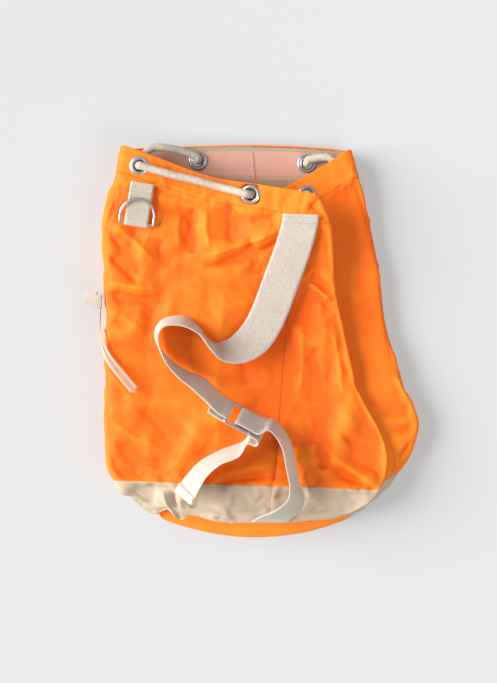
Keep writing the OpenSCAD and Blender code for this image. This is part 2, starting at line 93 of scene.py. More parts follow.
def section(s):
    s = np.atleast_1d(np.asarray(s, float))
    xl, xr, xf = along(LEFT_X, s), along(RIGHT_X, s), along(FOLD_X, s)
    d, k = np.maximum(along(PLEAT_D, s), 0), along(PLEAT_SLOPE, s)
    yl, yr, yf = along(LEFT_Y, s), along(RIGHT_Y, s), along(FOLD_Y, s)
    ym, yb = along(FRONT_Y, s), along(BACK_Y, s)
    zt, zf, zr = along(FRONT_Z, s), along(FOLD_Z, s), along(SIDE_Z, s)
    zb, q = np.maximum(along(BACK_Z, s), 0), np.minimum(d / 24, 1)
    pleated = [
        (xr - 6, yr, zr),
        (xf - 2, yr - k * (xr - xf), zr - 1),
        (xf - d, yr - k * (xr - xf + d), mix(zr, zf, 0.25)),
        (xf - 10, yf, np.minimum(mix(zr, zf, 0.5), zf - 9)),
        (xf, yf, zf - 5),
        (xf - 10, yf + 5 * np.maximum(1 - s, 0), zf),
    ]
    plain = [(xr - 2 - 5 * i, mix(yr, yf, i / 5), mix(0.55, 0.97, i / 5) * zt) for i in range(6)]
    rows = [
        (xl + 14, mix(yl, yb, 0.35), zb),
        (mix(xl, xr, 0.3), mix(yl, yb, 0.85), zb),
        (mix(xl, xr, 0.52), yb, zb),
        (mix(xl, xr, 0.75), mix(yr, yb, 0.8), zb),
        (xr - 11, mix(yr, yb, 0.3), zb),
        (xr, yr, mix(zb, zr, 0.55)),
    ]
    rows += [tuple(mix(a, b, q) for a, b in zip(p, f)) for p, f in zip(plain, pleated)]
    rows += [
        (mix(xf, xl, 0.3), mix(yf, ym, 0.6), np.maximum(zt, mix(zt, zf, 0.6))),
        (mix(xf, xl, 0.55), ym, zt),
        (mix(xf, xl, 0.8), mix(ym, yl, 0.6), zt - 1),
        (xl + 7, yl, zt - 5),
        (xl, yl, 0.6 * zt),
        (xl + 4, yl, zb + 8),
    ]
    return np.stack([np.stack([np.broadcast_to(c, s.shape) for c in r], -1) for r in rows], 1)


def _ring(c, u):
    u = np.mod(u, RING)
    i = np.floor(u).astype(int) % RING
    t = (u - np.floor(u))[None, :, None]
    return catmull(c[:, (i - 1) % RING], c[:, i], c[:, (i + 1) % RING], c[:, (i + 2) % RING], t)


def bag(s, u, depth=0.0):
    """Points of the bag, rows by station and columns by place, a depth in from the outer face."""
    s, u = np.atleast_1d(np.asarray(s, float)), np.atleast_1d(np.asarray(u, float))
    c = section(s)
    p, a, b = _ring(c, u), _ring(c, u - 0.2), _ring(c, u + 0.2)
    n = unit(np.stack([a[..., 2] - b[..., 2], np.zeros(a.shape[:2]), b[..., 0] - a[..., 0]], -1))
    p = p + depth * n
    p[..., 2] = np.maximum(p[..., 2], depth)
    return p


def bag_at(s, u, depth=0.0):
    return bag([s], [u], depth)[0, 0]


def outward(s, u):
    return unit(np.cross(bag_at(s, u + 0.2) - bag_at(s, u - 0.2), bag_at(s + 0.2, u) - bag_at(s - 0.2, u)))


# ---- mesh helpers
def run_along(line):
    """The distance from a line's start to each of its points."""
    return np.concatenate([[0], np.cumsum(np.linalg.norm(np.diff(line, axis=0), axis=1))])


def come_round(rows):
    """Rows with the first one again at the end."""
    return np.concatenate([rows, rows[:1]])


def circles(line, e, f, radius, sides):
    """A circle about each point of a line, in the plane of e and f."""
    a = np.arange(sides) * 2 * math.pi / sides
    return line[:, None] + radius * (np.cos(a)[None, :, None] * e[:, None] + np.sin(a)[None, :, None]
        * f[:, None])


def add_object(name, verts, faces, uvs=None, smooth=True):
    """A mesh object from points in millimetres; uvs is one (u, v) in metres for each face corner."""
    verts = np.array(verts, float)
    verts[:, 2] = np.maximum(verts[:, 2], 0.02)
    mesh = bpy.data.meshes.new(name)
    mesh.from_pydata((verts * MM).tolist(), [], [list(f) for f in faces])
    if uvs is not None:
        layer = mesh.uv_layers.new(name="UVMap")
        layer.data.foreach_set("uv", np.asarray(uvs, np.float32).ravel())
    mesh.polygons.foreach_set("use_smooth", [smooth] * len(mesh.polygons))
    mesh.update()
    obj = bpy.data.objects.new(name, mesh)
    scene.collection.objects.link(obj)
    return obj


def grid_faces(rows, cols, looped=False, start=0):
    """Quads of a grid and, for each corner, its row and unwrapped column."""
    last = cols if looped else cols - 1
    r, c = np.meshgrid(np.arange(rows - 1), np.arange(last), indexing="ij")
    r, c = r.ravel(), c.ravel()
    corners = [(r, c), (r, c + 1), (r + 1, c + 1), (r + 1, c)]
    faces = np.stack([start + a * cols + b % cols for a, b in corners], 1)
    return faces, np.stack([np.stack([a, b], 1) for a, b in corners], 1)


def grid_uv(points, corners, looped):
    """UVs in metres from mean arc lengths, so a weave keeps its size on the cloth."""
    p = np.concatenate([points, points[:, :1]], 1) if looped else points
    across = np.concatenate([[0], np.cumsum(np.linalg.norm(np.diff(p, axis=1), axis=-1).mean(0))])
    down = np.concatenate([[0], np.cumsum(np.linalg.norm(np.diff(points, axis=0), axis=-1).mean(1))])
    return np.stack([across[corners[..., 1]], down[corners[..., 0]]], -1).reshape(-1, 2) * MM


def cloth_sheet(name, points, looped=False, keep=None):
    """One skin of cloth from a grid; keep says which faces stay."""
    rows, cols = points.shape[:2]
    faces, corners = grid_faces(rows, cols, looped)
    uv = grid_uv(points, corners, looped).reshape(len(faces), 4, 2)
    if keep is not None:
        centre = points.reshape(-1, 3)[faces].mean(1)
        ok = keep(centre)
        faces, uv = faces[ok], uv[ok]
    return add_object(name, points.reshape(-1, 3), faces, uv.reshape(-1, 2))


def grid_normals(p, looped):
    if looped:
        du = np.roll(p, -1, 1) - np.roll(p, 1, 1)
    else:
        du = np.gradient(p, axis=1)
    return unit(np.cross(du, np.gradient(p, axis=0)))


def resample(points, step):
    """The same line with points an even distance apart."""
    d = run_along(points)
    t = np.linspace(0, d[-1], max(int(round(d[-1] / step)), 2) + 1)
    return np.stack([np.interp(t, d, points[:, i]) for i in range(points.shape[1])], 1)


def frames(line):
    """Two cross directions carried along a line without twisting."""
    t = unit(np.gradient(line, axis=0))
    e = np.zeros_like(t)
    v = np.cross(t[0], [0, 0, 1.0])
    for i in range(len(t)):
        v = unit(v - v @ t[i] * t[i])
        e[i] = v
    return e, np.cross(t, e)


def tube_mesh(name, line, radius, sides, relief=None):
    """A round tube with closed ends. relief(angle, length) adds to the radius."""
    e, f = frames(line)
    a = np.arange(sides) * 2 * math.pi / sides
    d = run_along(line)
    r = np.full((len(line), sides), float(radius))
    if relief is not None:
        r = r + relief(a[None, :], d[:, None])
    p = circles(line, e, f, r[..., None], sides)
    faces, corners = (x[:, ::-1] for x in grid_faces(len(line), sides, True))
    uvs = np.stack([corners[..., 1] * 2 * math.pi * radius / sides, d[corners[..., 0]]], -1)
    uvs = uvs.reshape(-1, 2) * MM
    n = len(line) * sides
    caps = [list(range(sides)), list(range(n - 1, n - sides - 1, -1))]
    return add_object(name, p.reshape(-1, 3), [*faces.tolist(), *caps],
        np.concatenate([uvs, np.zeros((2 * sides, 2))]))


def webbing_path(stations, per=6):
    c, a = V([p[0] for p in stations], float), V([p[1] for p in stations], float)
    t = np.linspace(0, len(c) - 1, (len(c) - 1) * per + 1)
    return along(c, t), unit(along(a, t))


def ribbon(name, stations, lo, hi, thick, step=2.0, selvedge=0.25, wave=0.0, seed=0):
    """Woven webbing: a flat band with fuller edges, along stations of (centre, direction across)."""
    c, a = webbing_path(stations, 10)
    both = resample(np.concatenate([c, a], 1), step)
    c, a = both[:, :3], unit(both[:, 3:])
    t = unit(np.gradient(c, axis=0))
    up = unit(np.cross(t, a))
    w = np.linspace(lo, hi, 15)
    edge = np.abs(2 * (w - lo) / (hi - lo) - 1)
    half = thick / 2 * np.where(edge > 0.99, 0.35, 1 + selvedge * np.clip((edge - 0.8) / 0.15, 0, 1))
    d = run_along(c)
    lift = np.zeros((len(c), len(w)))
    if wave:
        gen = np.random.default_rng(seed)
        for i in range(7):
            lam, ph, amp = gen.uniform(18, 60), gen.uniform(0, 6.28), gen.uniform(0.3, 1)
            swell = wave * amp * np.sin(2 * math.pi * d / lam + ph)
            lift += swell[:, None] * ((w - lo) / (hi - lo) - (i % 2))[None] * 0.5
    upper = c[:, None] + w[None, :, None] * a[:, None] + (lift + half)[..., None] * up[:, None]
    lower = c[:, None] + w[None, :, None] * a[:, None] + (lift - half)[..., None] * up[:, None]
    ring = np.concatenate([upper, lower[:, ::-1]], 1)
    n, m = ring.shape[:2]
    faces, corners = grid_faces(n, m, True)
    wu = np.concatenate([w - lo, (w - lo)[::-1], [0.0]])
    uvs = np.stack([wu[corners[..., 1]], d[corners[..., 0]]], -1).reshape(-1, 2) * MM
    caps = [list(range(m - 1, -1, -1)), list(range((n - 1) * m, n * m))]
    obj = add_object(name, ring.reshape(-1, 3), [*faces.tolist(), *caps],
        np.concatenate([uvs, np.zeros((2 * m, 2))]))
    return obj, c, a, up, d


def stitches(name, line, normal, pitch=3.0, length=2.3, radius=0.32, lift=0.12):
    """A row of thread stitches that dip into the cloth at both ends."""
    d = run_along(line)
    verts, faces = [], []
    f, sides = V([0, 0.2, 0.5, 0.8, 1.0]), 5
    a = np.arange(sides) * 2 * math.pi / sides
    for k in range(int(d[-1] / pitch)):
        at = k * pitch + f * length
        p = np.stack([np.interp(at, d, line[:, i]) for i in range(3)], 1)
        n = unit(np.stack([np.interp(at, d, normal[:, i]) for i in range(3)], 1))
        if p[:, 2].min() < 0.8 and n[:, 2].mean() < 0:
            continue
        t = unit(np.gradient(p, axis=0))
        b = unit(np.cross(t, n))
        h = lift - V([0.5, 0, 0, 0, 0.5])
        r = radius * V([0.6, 1, 1.1, 1, 0.6])
        ring = p[:, None] + h[:, None, None] * n[:, None] + r[:, None, None] * (
            np.cos(a)[None, :, None] * b[:, None] + 0.8 * np.sin(a)[None, :, None] * n[:, None]
        )
        start = len(verts) * len(f) * sides
        g, _ = grid_faces(len(f), sides, True, start)
        verts.append(ring.reshape(-1, 3))
        faces.extend(g.tolist())
    return add_object(name, np.concatenate(verts), faces)


def join(name, parts):
    """One object out of several."""
    bpy.ops.object.select_all(action="DESELECT")
    for o in parts:
        o.select_set(True)
    bpy.context.view_layer.objects.active = parts[0]
    bpy.ops.object.join()
    parts[0].name = name
    return parts[0]


def across(heading, tilt):
    h, t = math.radians(heading), math.radians(tilt)
    return V([math.cos(h) * math.cos(t), math.sin(h) * math.cos(t), math.sin(t)])


def place(p):
    return (V(p[:3], float), across(p[3], p[4]))


# ---- materials
PAINT = 0.67  # how much darker paint is than the look it has under these lights


def srgb(r, g, b):
    """A linear colour from the 0 to 255 look that it should have under the lights."""
    linear = [c / 255 / 12.92 if c / 255 <= 0.04045 else ((c / 255 + 0.055) / 1.055) ** 2.4
        for c in (r, g, b)]
    return (*(PAINT * c for c in linear), 1.0)


class Nodes:
    """Short way to build a material's nodes."""

    def __init__(self, name):
        self.mat = bpy.data.materials.new(name)
        self.mat.use_nodes = True
        self.tree = self.mat.node_tree
        self.tree.nodes.clear()
        self.out = self.tree.nodes.new("ShaderNodeOutputMaterial")
        self.bsdf = self.tree.nodes.new("ShaderNodeBsdfPrincipled")
        self.tree.links.new(self.bsdf.outputs[0], self.out.inputs[0])

    def add(self, kind, **values):
        node = self.tree.nodes.new("ShaderNode" + kind)
        for key, value in values.items():
            setattr(node, key, value)
        return node

    def put(self, socket, x):
        """A number, a colour or another node's output into a socket."""
        if hasattr(x, "links"):
            self.tree.links.new(x, socket)
        else:
            socket.default_value = x

    def fill(self, node, values):
        """Values into a node's sockets, by name or number."""
        for key, x in values.items():
            self.put(node.inputs[key], x)
        return node

    def surface(self, **sockets):
        """Values on the shader's own sockets."""
        self.fill(self.bsdf, {key.replace("_", " "): x for key, x in sockets.items()})

    def math(self, op, *values):
        return self.fill(self.add("Math", operation=op), dict(enumerate(values))).outputs[0]

    def mul(self, a, b):
        return self.math("MULTIPLY", a, b)

    def plus(self, a, b):
        return self.math("ADD", a, b)

    def noise(self, coord, scale, detail=4.0, rough=0.55):
        values = {"Vector": coord, "Scale": scale, "Detail": detail, "Roughness": rough}
        return self.fill(self.add("TexNoise"), values).outputs["Fac"]

    def ramp(self, value, lo, hi, a=0.0, b=1.0):
        return self.fill(self.add("MapRange"), dict(enumerate((value, lo, hi, a, b)))).outputs[0]

    def blend(self, fac, a, b):
        node = self.add("Mix", data_type="RGBA", blend_type="MIX")
        return self.fill(node, {0: fac, 6: a, 7: b}).outputs[2]

    def bump(self, height, strength, distance):
        values = {"Height": height, "Strength": strength, "Distance": distance}
        self.surface(Normal=self.fill(self.add("Bump"), values).outputs[0])

    def coordinates(self):
        """Object coordinates, UV coordinates and the two parts of the UV."""
        tc, sep = self.add("TexCoord"), self.add("SeparateXYZ")
        self.put(sep.inputs[0], tc.outputs["UV"])
        return tc.outputs["Object"], tc.outputs["UV"], sep.outputs["X"], sep.outputs["Y"]


def woven(name, light, mid, dark, pitch=0.7, fold_light_paint=0.0, rough=0.9, sheen=0.15, relief=0.25, fade=0.5,
        fuzz=0.5, gloss=0.2):
    """Plain-weave cloth: crossed threads, slubs and patchy fading, and where asked a painted highlight on
    fold ridges and painted shade in fold valleys.
    """
    n = Nodes(name)
    place_at, uv, across_uv, along_uv = n.coordinates()
    k = math.pi / (pitch * MM)
    warp = n.mul(n.math("SINE", n.mul(across_uv, k)), n.math("SINE", n.mul(along_uv, k)))
    weave = n.plus(n.mul(warp, 0.5), n.noise(uv, 1400, 2))
    patches = n.plus(n.mul(n.noise(place_at, 9, 3), 0.65), n.mul(n.noise(place_at, 70, 5), 0.35))
    base = n.blend(n.mul(n.ramp(patches, 0.35, 0.65), fade), mid, light)
    # painted light read from the mesh: a lighter colour painted on fold ridges, a darker colour painted in
    # fold valleys
    if fold_light_paint:
        painted_fold_light = n.add("Attribute", attribute_name="painted_fold_light").outputs["Fac"]
        base = n.blend(n.ramp(painted_fold_light, 0.52, 0.9, 0.0, fold_light_paint), base, light)
        base = n.blend(n.ramp(painted_fold_light, 0.48, 0.1, 0.0, fold_light_paint), base, dark)
    base = n.blend(n.mul(n.math("SUBTRACT", 1.0, n.ramp(weave, 0.0, 1.0)), fuzz), base, dark)
    n.surface(Base_Color=base, Roughness=rough, Sheen_Weight=sheen, Sheen_Roughness=0.5,
        Specular_IOR_Level=gloss)
    rumple, grain = n.noise(place_at, 150, 6, 0.6), n.noise(place_at, 480, 2)
    n.bump(n.plus(weave, n.plus(n.mul(rumple, 3.2), n.mul(grain, 1.4))), relief, 0.0004)
    return n.mat


def webbing_material(name, light, dark, width=38.0, relief=0.7):
    """Herringbone webbing: ribs that turn back at each quarter of the width, the middle too."""
    n = Nodes(name)
    place_at, uv, across_uv, along_uv = n.coordinates()
    turned = n.math("PINGPONG", across_uv, width / 4 * MM)
    rib = n.math("SINE", n.mul(n.plus(along_uv, turned), 2 * math.pi / (1.3 * MM)))
    yarn = n.math("SINE", n.mul(across_uv, 2 * math.pi / (0.95 * MM)))
    height = n.plus(n.plus(n.mul(rib, 0.32), n.mul(yarn, 0.3)), n.noise(uv, 900, 3))
    height = n.plus(height, n.mul(n.noise(place_at, 460, 2, 0.6), 2.2))
    base = n.blend(n.mul(n.ramp(height, 1.0, 2.3, 1.0, 0.0), 0.55), light, dark)
    base = n.blend(n.ramp(n.noise(place_at, 35, 4), 0.45, 0.75, 0.0, 0.2), base, dark)
    n.surface(Base_Color=base, Roughness=0.85, Sheen_Weight=0.15, Specular_IOR_Level=0.25)
    # loose cotton lets light through to its shaded side
    n.surface(Subsurface_Weight=0.7, Subsurface_Radius=(1.0, 0.85, 0.72), Subsurface_Scale=0.004)
    n.bump(height, relief, 0.0007)
    return n.mat


def thread_material(name, light, dark, scale=500):
    """Twisted cotton yarn, for stitches and braid."""
    n = Nodes(name)
    place_at, *_ = n.coordinates()
    fine = n.noise(place_at, scale, 4)
    mottle = n.plus(n.mul(fine, 0.6), n.mul(n.noise(place_at, 60, 3), 0.4))
    base = n.blend(n.ramp(mottle, 0.3, 0.7), dark, light)
    n.surface(Base_Color=base, Roughness=0.85, Sheen_Weight=0.12, Specular_IOR_Level=0.25)
    n.bump(fine, 0.35, 0.0004)
    return n.mat


def metal(name, colour, rough=0.24, scratch=0.12):
    """Plated metal with fine scratches, a cloudy finish and dulled patches."""
    n = Nodes(name)
    place_at, *_ = n.coordinates()
    stretch = n.fill(n.add("Mapping"), {0: place_at, "Scale": (1.0, 14.0, 3.0)})
    lines = n.noise(stretch.outputs[0], 420, 5, 0.7)
    cloud = n.noise(place_at, 90, 4)
    dull = tuple(c * 0.72 for c in colour[:3]) + (1.0,)
    n.surface(Base_Color=n.blend(n.ramp(cloud, 0.45, 0.75), colour, dull), Metallic=1.0)
    n.surface(Roughness=n.plus(rough - 0.08, n.mul(n.plus(lines, cloud), scratch)))
    n.bump(lines, 0.05, 0.0002)
    return n.mat


ORANGE = woven("orange_canvas", (0.98, 0.285, 0.018, 1), (0.95, 0.168, 0.007, 1), (0.86, 0.092, 0.004, 1),
    pitch=0.65, rough=0.62, sheen=0.0, fuzz=0.35, gloss=0.2, fade=0.7, fold_light_paint=0.62)
# painted light: the base is a lighter copy of the orange canvas, so it looks lit where it lies in the shade
# of the band's front edge
LIT_BASE_CANVAS = woven("base_canvas_lit", (0.98, 0.34, 0.035, 1), (0.96, 0.27, 0.022, 1), (0.88, 0.14, 0.01, 1),
    pitch=0.65, rough=0.62, sheen=0.0, fuzz=0.35, fade=0.7)
BAND = woven("band_canvas", srgb(240, 217, 190), srgb(232, 207, 178), srgb(204, 176, 148), pitch=0.7,
    sheen=0.0, fuzz=0.35, gloss=0.3)
FACING = woven("facing_cloth", srgb(255, 198, 174), srgb(246, 186, 162), srgb(218, 152, 128), pitch=0.6,
    sheen=0.1)
LINING = woven("lining_cloth", srgb(226, 190, 150), srgb(216, 178, 138), srgb(180, 142, 106), pitch=0.5,
    sheen=0.1)
EDGE = woven("edge_tape", srgb(214, 196, 168), srgb(204, 186, 158), srgb(168, 148, 120), pitch=0.5)
WEB = webbing_material("strap_webbing", srgb(254, 246, 233), srgb(210, 192, 170))
TAB = webbing_material("tab_webbing", srgb(252, 238, 220), srgb(208, 190, 168), width=25.0)
CORD = thread_material("cord_cotton", srgb(244, 232, 216), srgb(200, 180, 156), 320)
THREAD = thread_material("stitch_thread", srgb(214, 92, 34), srgb(176, 62, 20))
THREAD_PALE = thread_material("pale_thread", srgb(236, 224, 206), srgb(206, 190, 168))
TAPE = woven("zip_tape", srgb(240, 226, 206), srgb(230, 214, 192), srgb(196, 176, 150), pitch=0.4)
TEETH = thread_material("zip_teeth", srgb(238, 222, 198), srgb(196, 174, 146), 700)
SATIN = woven("label_satin", srgb(236, 224, 204), srgb(226, 212, 190), srgb(196, 180, 154), pitch=0.3,
    rough=0.5, sheen=0.3)
STEEL = metal("nickel_plate", (0.66, 0.66, 0.67, 1.0))
ZIP_STEEL = metal("zip_metal", (0.62, 0.60, 0.57, 1.0), 0.3)


def dress(obj, material, body="bag", replaces=()):
    obj.data.materials.clear()
    obj.data.materials.append(material)
    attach(obj, body)
    if replaces:
        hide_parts(*replaces)
    return obj


# ---- camera, light and floor
camera = bpy.data.objects.new("camera", bpy.data.cameras.new("camera"))
scene.collection.objects.link(camera)
scene.camera = camera
HEIGHT, CLOTH_TOP = 2.6, 0.045  # of the camera and of the cloth's upper face, in metres
VIEW_LONG_SIDE = 683 * 1.05 * MM  # what the long side of the picture shows at the cloth's height
camera.location = (0, 0, HEIGHT)
camera.rotation_euler = (0, 0, 0)
camera.data.sensor_fit = "AUTO"
camera.data.sensor_width = 36
camera.data.lens = camera.data.sensor_width * (HEIGHT - CLOTH_TOP) / VIEW_LONG_SIDE
camera.data.clip_end = 50


def lamp(name, kind, energy, heading):
    """A light that shines along a heading."""
    obj = bpy.data.objects.new(name, bpy.data.lights.new(name, kind))
    obj.data.energy = energy
    scene.collection.objects.link(obj)
    obj.rotation_mode = "QUATERNION"
    obj.rotation_quaternion = Vector(heading).to_track_quat("-Z", "Y")
    return obj


lamp("key", "SUN", 6.0, (4.4, -0.7, -2.6)).data.angle = math.radians(46)
FILL_AT = V([2.6, -2.6, 3.4])
fill = lamp("fill", "AREA", 70, -FILL_AT)
fill.location, fill.data.size = FILL_AT, 2.4
world = bpy.data.worlds.new("studio")
scene.world = world
world.use_nodes = True
world.node_tree.nodes["Background"].inputs[0].default_value = (0.97, 0.99, 1.0, 1)
world.node_tree.nodes["Background"].inputs[1].default_value = 0.44
scene.view_settings.view_transform = "Standard"

bpy.ops.mesh.primitive_grid_add(x_subdivisions=8, y_subdivisions=8, size=12, location=(0, 0, -0.0002))
floor = bpy.context.object
floor.name = "floor"
paper = Nodes("floor_paper")
grain = paper.noise(paper.coordinates()[0], 300, 3)
paper.surface(Base_Color=paper.blend(grain, (0.322, 0.329, 0.328, 1), (0.342, 0.349, 0.348, 1)))
# painted glow: the floor gives off a little light of its own, which keeps the shadows cast on it pale
paper.surface(Roughness=0.9, Specular_IOR_Level=0.1, Emission_Color=(0.985, 1.0, 1.0, 1),
    Emission_Strength=0.30)
floor.data.materials.append(paper.mat)

# ---- cloth of the bag
def places(step):
    """Stations and section places for a grid of about that spacing in millimetres."""
    u = np.linspace(0, RING, 1801)
    run = np.concatenate([[0], np.cumsum(np.linalg.norm(np.diff(bag([1.0, 3.5, 6.0], u), axis=1),
        axis=-1).mean(0))])
    cols = int(run[-1] / step)
    s = np.concatenate([np.arange(0, BAND_S, step / BODY_RUN),
        [0.04, 0.09, 0.975, 1.0, 1.025, 6.96, BAND_S],
                        np.arange(BAND_S + 0.04, BASE_S, step / BAND_RUN), [BASE_S]])
    return np.unique(np.round(s, 3)), np.interp(np.arange(cols) / cols * run[-1], run, u)


def facing_out(points):
    n = grid_normals(points, True)
    middle = points[len(points) // 2]
    return n if (n[len(points) // 2, :, 2] * (middle[:, 2] - 22)).sum() > 0 else -n


S, U = places(1.9)
REST = bag(S, U)
NORMAL = facing_out(REST)
TOP = ((U > 10.4) & (U < 16.4))[None] & (NORMAL[..., 2] > 0.05)


def line_distance(points, line):
    """Distance in plan to a line, how far along it the nearest place is (0 to 1) and on which side."""
    best, where = np.full(points.shape[:-1], 1e9), np.zeros(points.shape[:-1])
    line = V(line, float)
    run = run_along(line)
    side = np.zeros(points.shape[:-1])
    for i in range(len(line) - 1):
        v = line[i + 1] - line[i]
        t = np.clip(((points - line[i]) @ v) / (v @ v), 0, 1)
        off = points - (line[i] + t[..., None] * v)
        d = np.linalg.norm(off, axis=-1)
        near = d < best
        best = np.where(near, d, best)
        where = np.where(near, (run[i] + t * np.linalg.norm(v)) / run[-1], where)
        side = np.where(near, np.sign(v[0] * off[..., 1] - v[1] * off[..., 0]), side)
    return best, where, side


def fold(line, width, height, lean):
    """A soft ridge (height above 0) or valley along a line in plan; lean makes one flank steeper."""
    d, w, side = line_distance(REST[..., :2], line)
    x = d / width * (1 + lean * side)
    return height * np.exp(-(np.abs(x) ** 1.35)) * np.clip(np.sin(np.pi * w) * 1.6, 0, 1)


# each row is a fold's width, height and lean, then the points of its line in plan
FOLDS = [
    # upper front, between the hem and the strap
    (7, 3.0, 0.35, -50, 88, -20, 97, 8, 106, 34, 117),
    (7, -3.6, -0.2, -48, 78, -16, 86, 14, 95, 36, 106),
    (7, -4.2, 0.3, -58, 142, -59, 120, -57, 92),
    (8, 2.0, 0.0, -44, 140, -45, 118, -40, 98),
    (8, 1.4, 0.0, -72, 140, -74, 118, -72, 98),
    (8, -3.6, 0.3, 0, 110, 6, 92, 14, 70),
    (9, -2.4, 0.0, -20, 150, -16, 128, -20, 104),
    (12, -2.4, 0.2, -90, 110, -94, 96, -80, 78),
    # the corner of the hem beside the flank
    (3, -3.6, 0.3, 62, 134, 66, 142, 78, 153),
    (4, -3.0, -0.3, 64, 143, 74, 134, 88, 120),
    (5, 1.6, 0.0, 66, 160, 70, 150, 84, 140),
    # left shoulder
    (6, -3.4, 0.4, -152, 52, -122, 46, -84, 43),
    (6, 2.2, 0.0, -152, 63, -120, 57, -88, 55),
    (7, -3.2, 0.3, -150, 116, -128, 95, -112, 70),
    (6, -2.6, -0.3, -152, 92, -134, 80, -116, 58),
    (8, 1.8, 0.0, -142, 124, -118, 104, -98, 84),
    (9, 1.4, 0.0, -150, 34, -128, 24, -108, 8),
    # middle, beside and right of the upright seam
    (30, -4.5, 0.0, 46, 70, 40, 10, 34, -50, 30, -118),
    (26, 2.4, 0.0, -24, 60, -30, 10, -34, -60, -30, -120),
    (9, -3.4, 0.2, 70, -4, 73, -34, 69, -64),
    (12, 2.0, 0.0, 56, 24, 58, -20, 53, -60),
    (10, 2.2, 0.0, 88, 20, 96, -20, 100, -60),
    (5, -3.4, 0.4, 66, 72, 77, 63, 90, 52),
    (4, 2.4, 0.0, 62, 62, 75, 53, 88, 42),
    (5, -2.2, 0.2, 68, 50, 78, 44, 90, 30),
    (16, -2.6, 0.0, -10, 8, -4, -20, 0, -48),
    # lower right corner
    (7, -5.0, 0.0, 73, -110, 80, -122, 77, -136),
    (7, 2.6, 0.3, 84, -118, 112, -137, 144, -157),
    (6, -3.2, 0.3, 86, -132, 112, -146, 142, -161),
    (8, -2.8, -0.2, 94, -92, 122, -120, 144, -150),
    (8, -1.8, 0.2, 40, -106, 66, -104, 96, -112),
    (8, 1.6, 0.0, 30, -120, 60, -126, 90, -126),
    # lower left
    (4, -4.0, 0.3, -100, -148, -102, -163, -104, -182),
    (4, 2.4, 0.0, -92, -156, -86, -172, -72, -192),
    (4, -3.0, 0.0, -80, -156, -78, -170, -71, -188),
    (4, 1.6, 0.0, -64, -186, -30, -183, 10, -188),
    (10, -2.6, 0.2, -142, -106, -112, -126, -80, -132),
    (10, 1.8, 0.0, -146, -84, -116, -104, -90, -112),
    (14, -2.2, 0.0, -122, -66, -90, -88, -56, -98),
    (9, 1.6, 0.0, -34, -140, 0, -134, 28, -128),
    (7, -2.0, 0.0, -40, -150, -6, -146, 22, -142),
]
RELIEF = np.zeros(REST.shape[:2])
for width, height, lean, *line in FOLDS:
    line = np.reshape(line, (-1, 2))
    # a soft fold with a sharper bend along its middle
    bend_both = fold(line, 1.15 * width, 1.3 * height, lean) + fold(line, 0.3 * width, 0.55 * height, lean)
    RELIEF += np.where(TOP, bend_both, 0)


def crumple(seed, count, low, high, size):
    """Creased cloth: flat facets between crisp bends, in a few wandering directions."""
    gen = np.random.default_rng(seed)
    p = REST[..., :2]

    def wander(wave):
        a = gen.uniform(0, 2 * math.pi)
        return np.sin((p[..., 0] * math.cos(a) + p[..., 1] * math.sin(a)) * 2 * math.pi / wave
            + gen.uniform(0, 6.3))

    total = np.zeros(p.shape[:2])
    for _ in range(count):
        a, wave = gen.uniform(0, math.pi), gen.uniform(low, high)
        t = (p[..., 0] * math.cos(a) + p[..., 1] * math.sin(a) + 12 * wander(170) + 5 * wander(70)) / wave
        bend_line = 4 * np.abs(t - np.floor(t + 0.5)) - 1
        total += size * bend_line * np.clip(0.5 + 0.8 * wander(150), 0, 1)
    return total


CALM = np.exp(-(((REST[..., 0] + 60) / 70) ** 2) - ((REST[..., 1] + 50) / 60) ** 2)
_flank = ((U > 5.2) & (U <= 7.6))[None] & np.ones((len(S), 1), bool)
CREASES = crumple(21, 8, 50, 120, 1.1) + crumple(5, 6, 24, 45, 0.4) + crumple(33, 5, 11, 22, 0.1)
RELIEF += np.where(TOP, CREASES * (1 - 0.65 * CALM), np.where(_flank, 0.45 * CREASES, 0))
SEAM = [(59, 156), (52, 133), (46, 80), (41.5, 29), (35, -40), (32, -82), (29, -128), (25, -155),
    (20.5, -172), (27, -190)]
_d, _, _side = line_distance(REST[..., :2], SEAM)
_zip_d, _zip_w, _ = line_distance(REST[..., :2],
    [(-156, 4), (-149, -14), (-140, -27), (-130, -39), (-119, -52), (-112, -61)])
ZIP_WELT = np.where(TOP | ((U >= 16.4) & (U < 17.2))[None],
    1.8 * np.exp(-(((_zip_d - 8) / 3.4) ** 2)) * np.clip((1 - _zip_w) * 8, 0, 1), 0)
SEAM_CUT = np.where(TOP, -1.2 * np.exp(-((_d / 1.8) ** 2)) + 0.9 * np.exp(-(((_d - 5) / 4) ** 2))
    * (_side > 0), 0)

EYELETS = [(0.65, 14.5), (0.55, 12.25), (0.75, 8.6), (0.75, 7.3), (0.6, 3.2), (0.55, 1.15)]
EYE_AT = V([bag_at(s, u) for s, u in EYELETS])
EYE_OUT = V([outward(s, u) for s, u in EYELETS])
if EYE_OUT[0][2] < 0:
    EYE_OUT = -EYE_OUT


def eyelet_distance(points):
    return np.min([np.linalg.norm(points - p, axis=-1) for p in EYE_AT], 0)


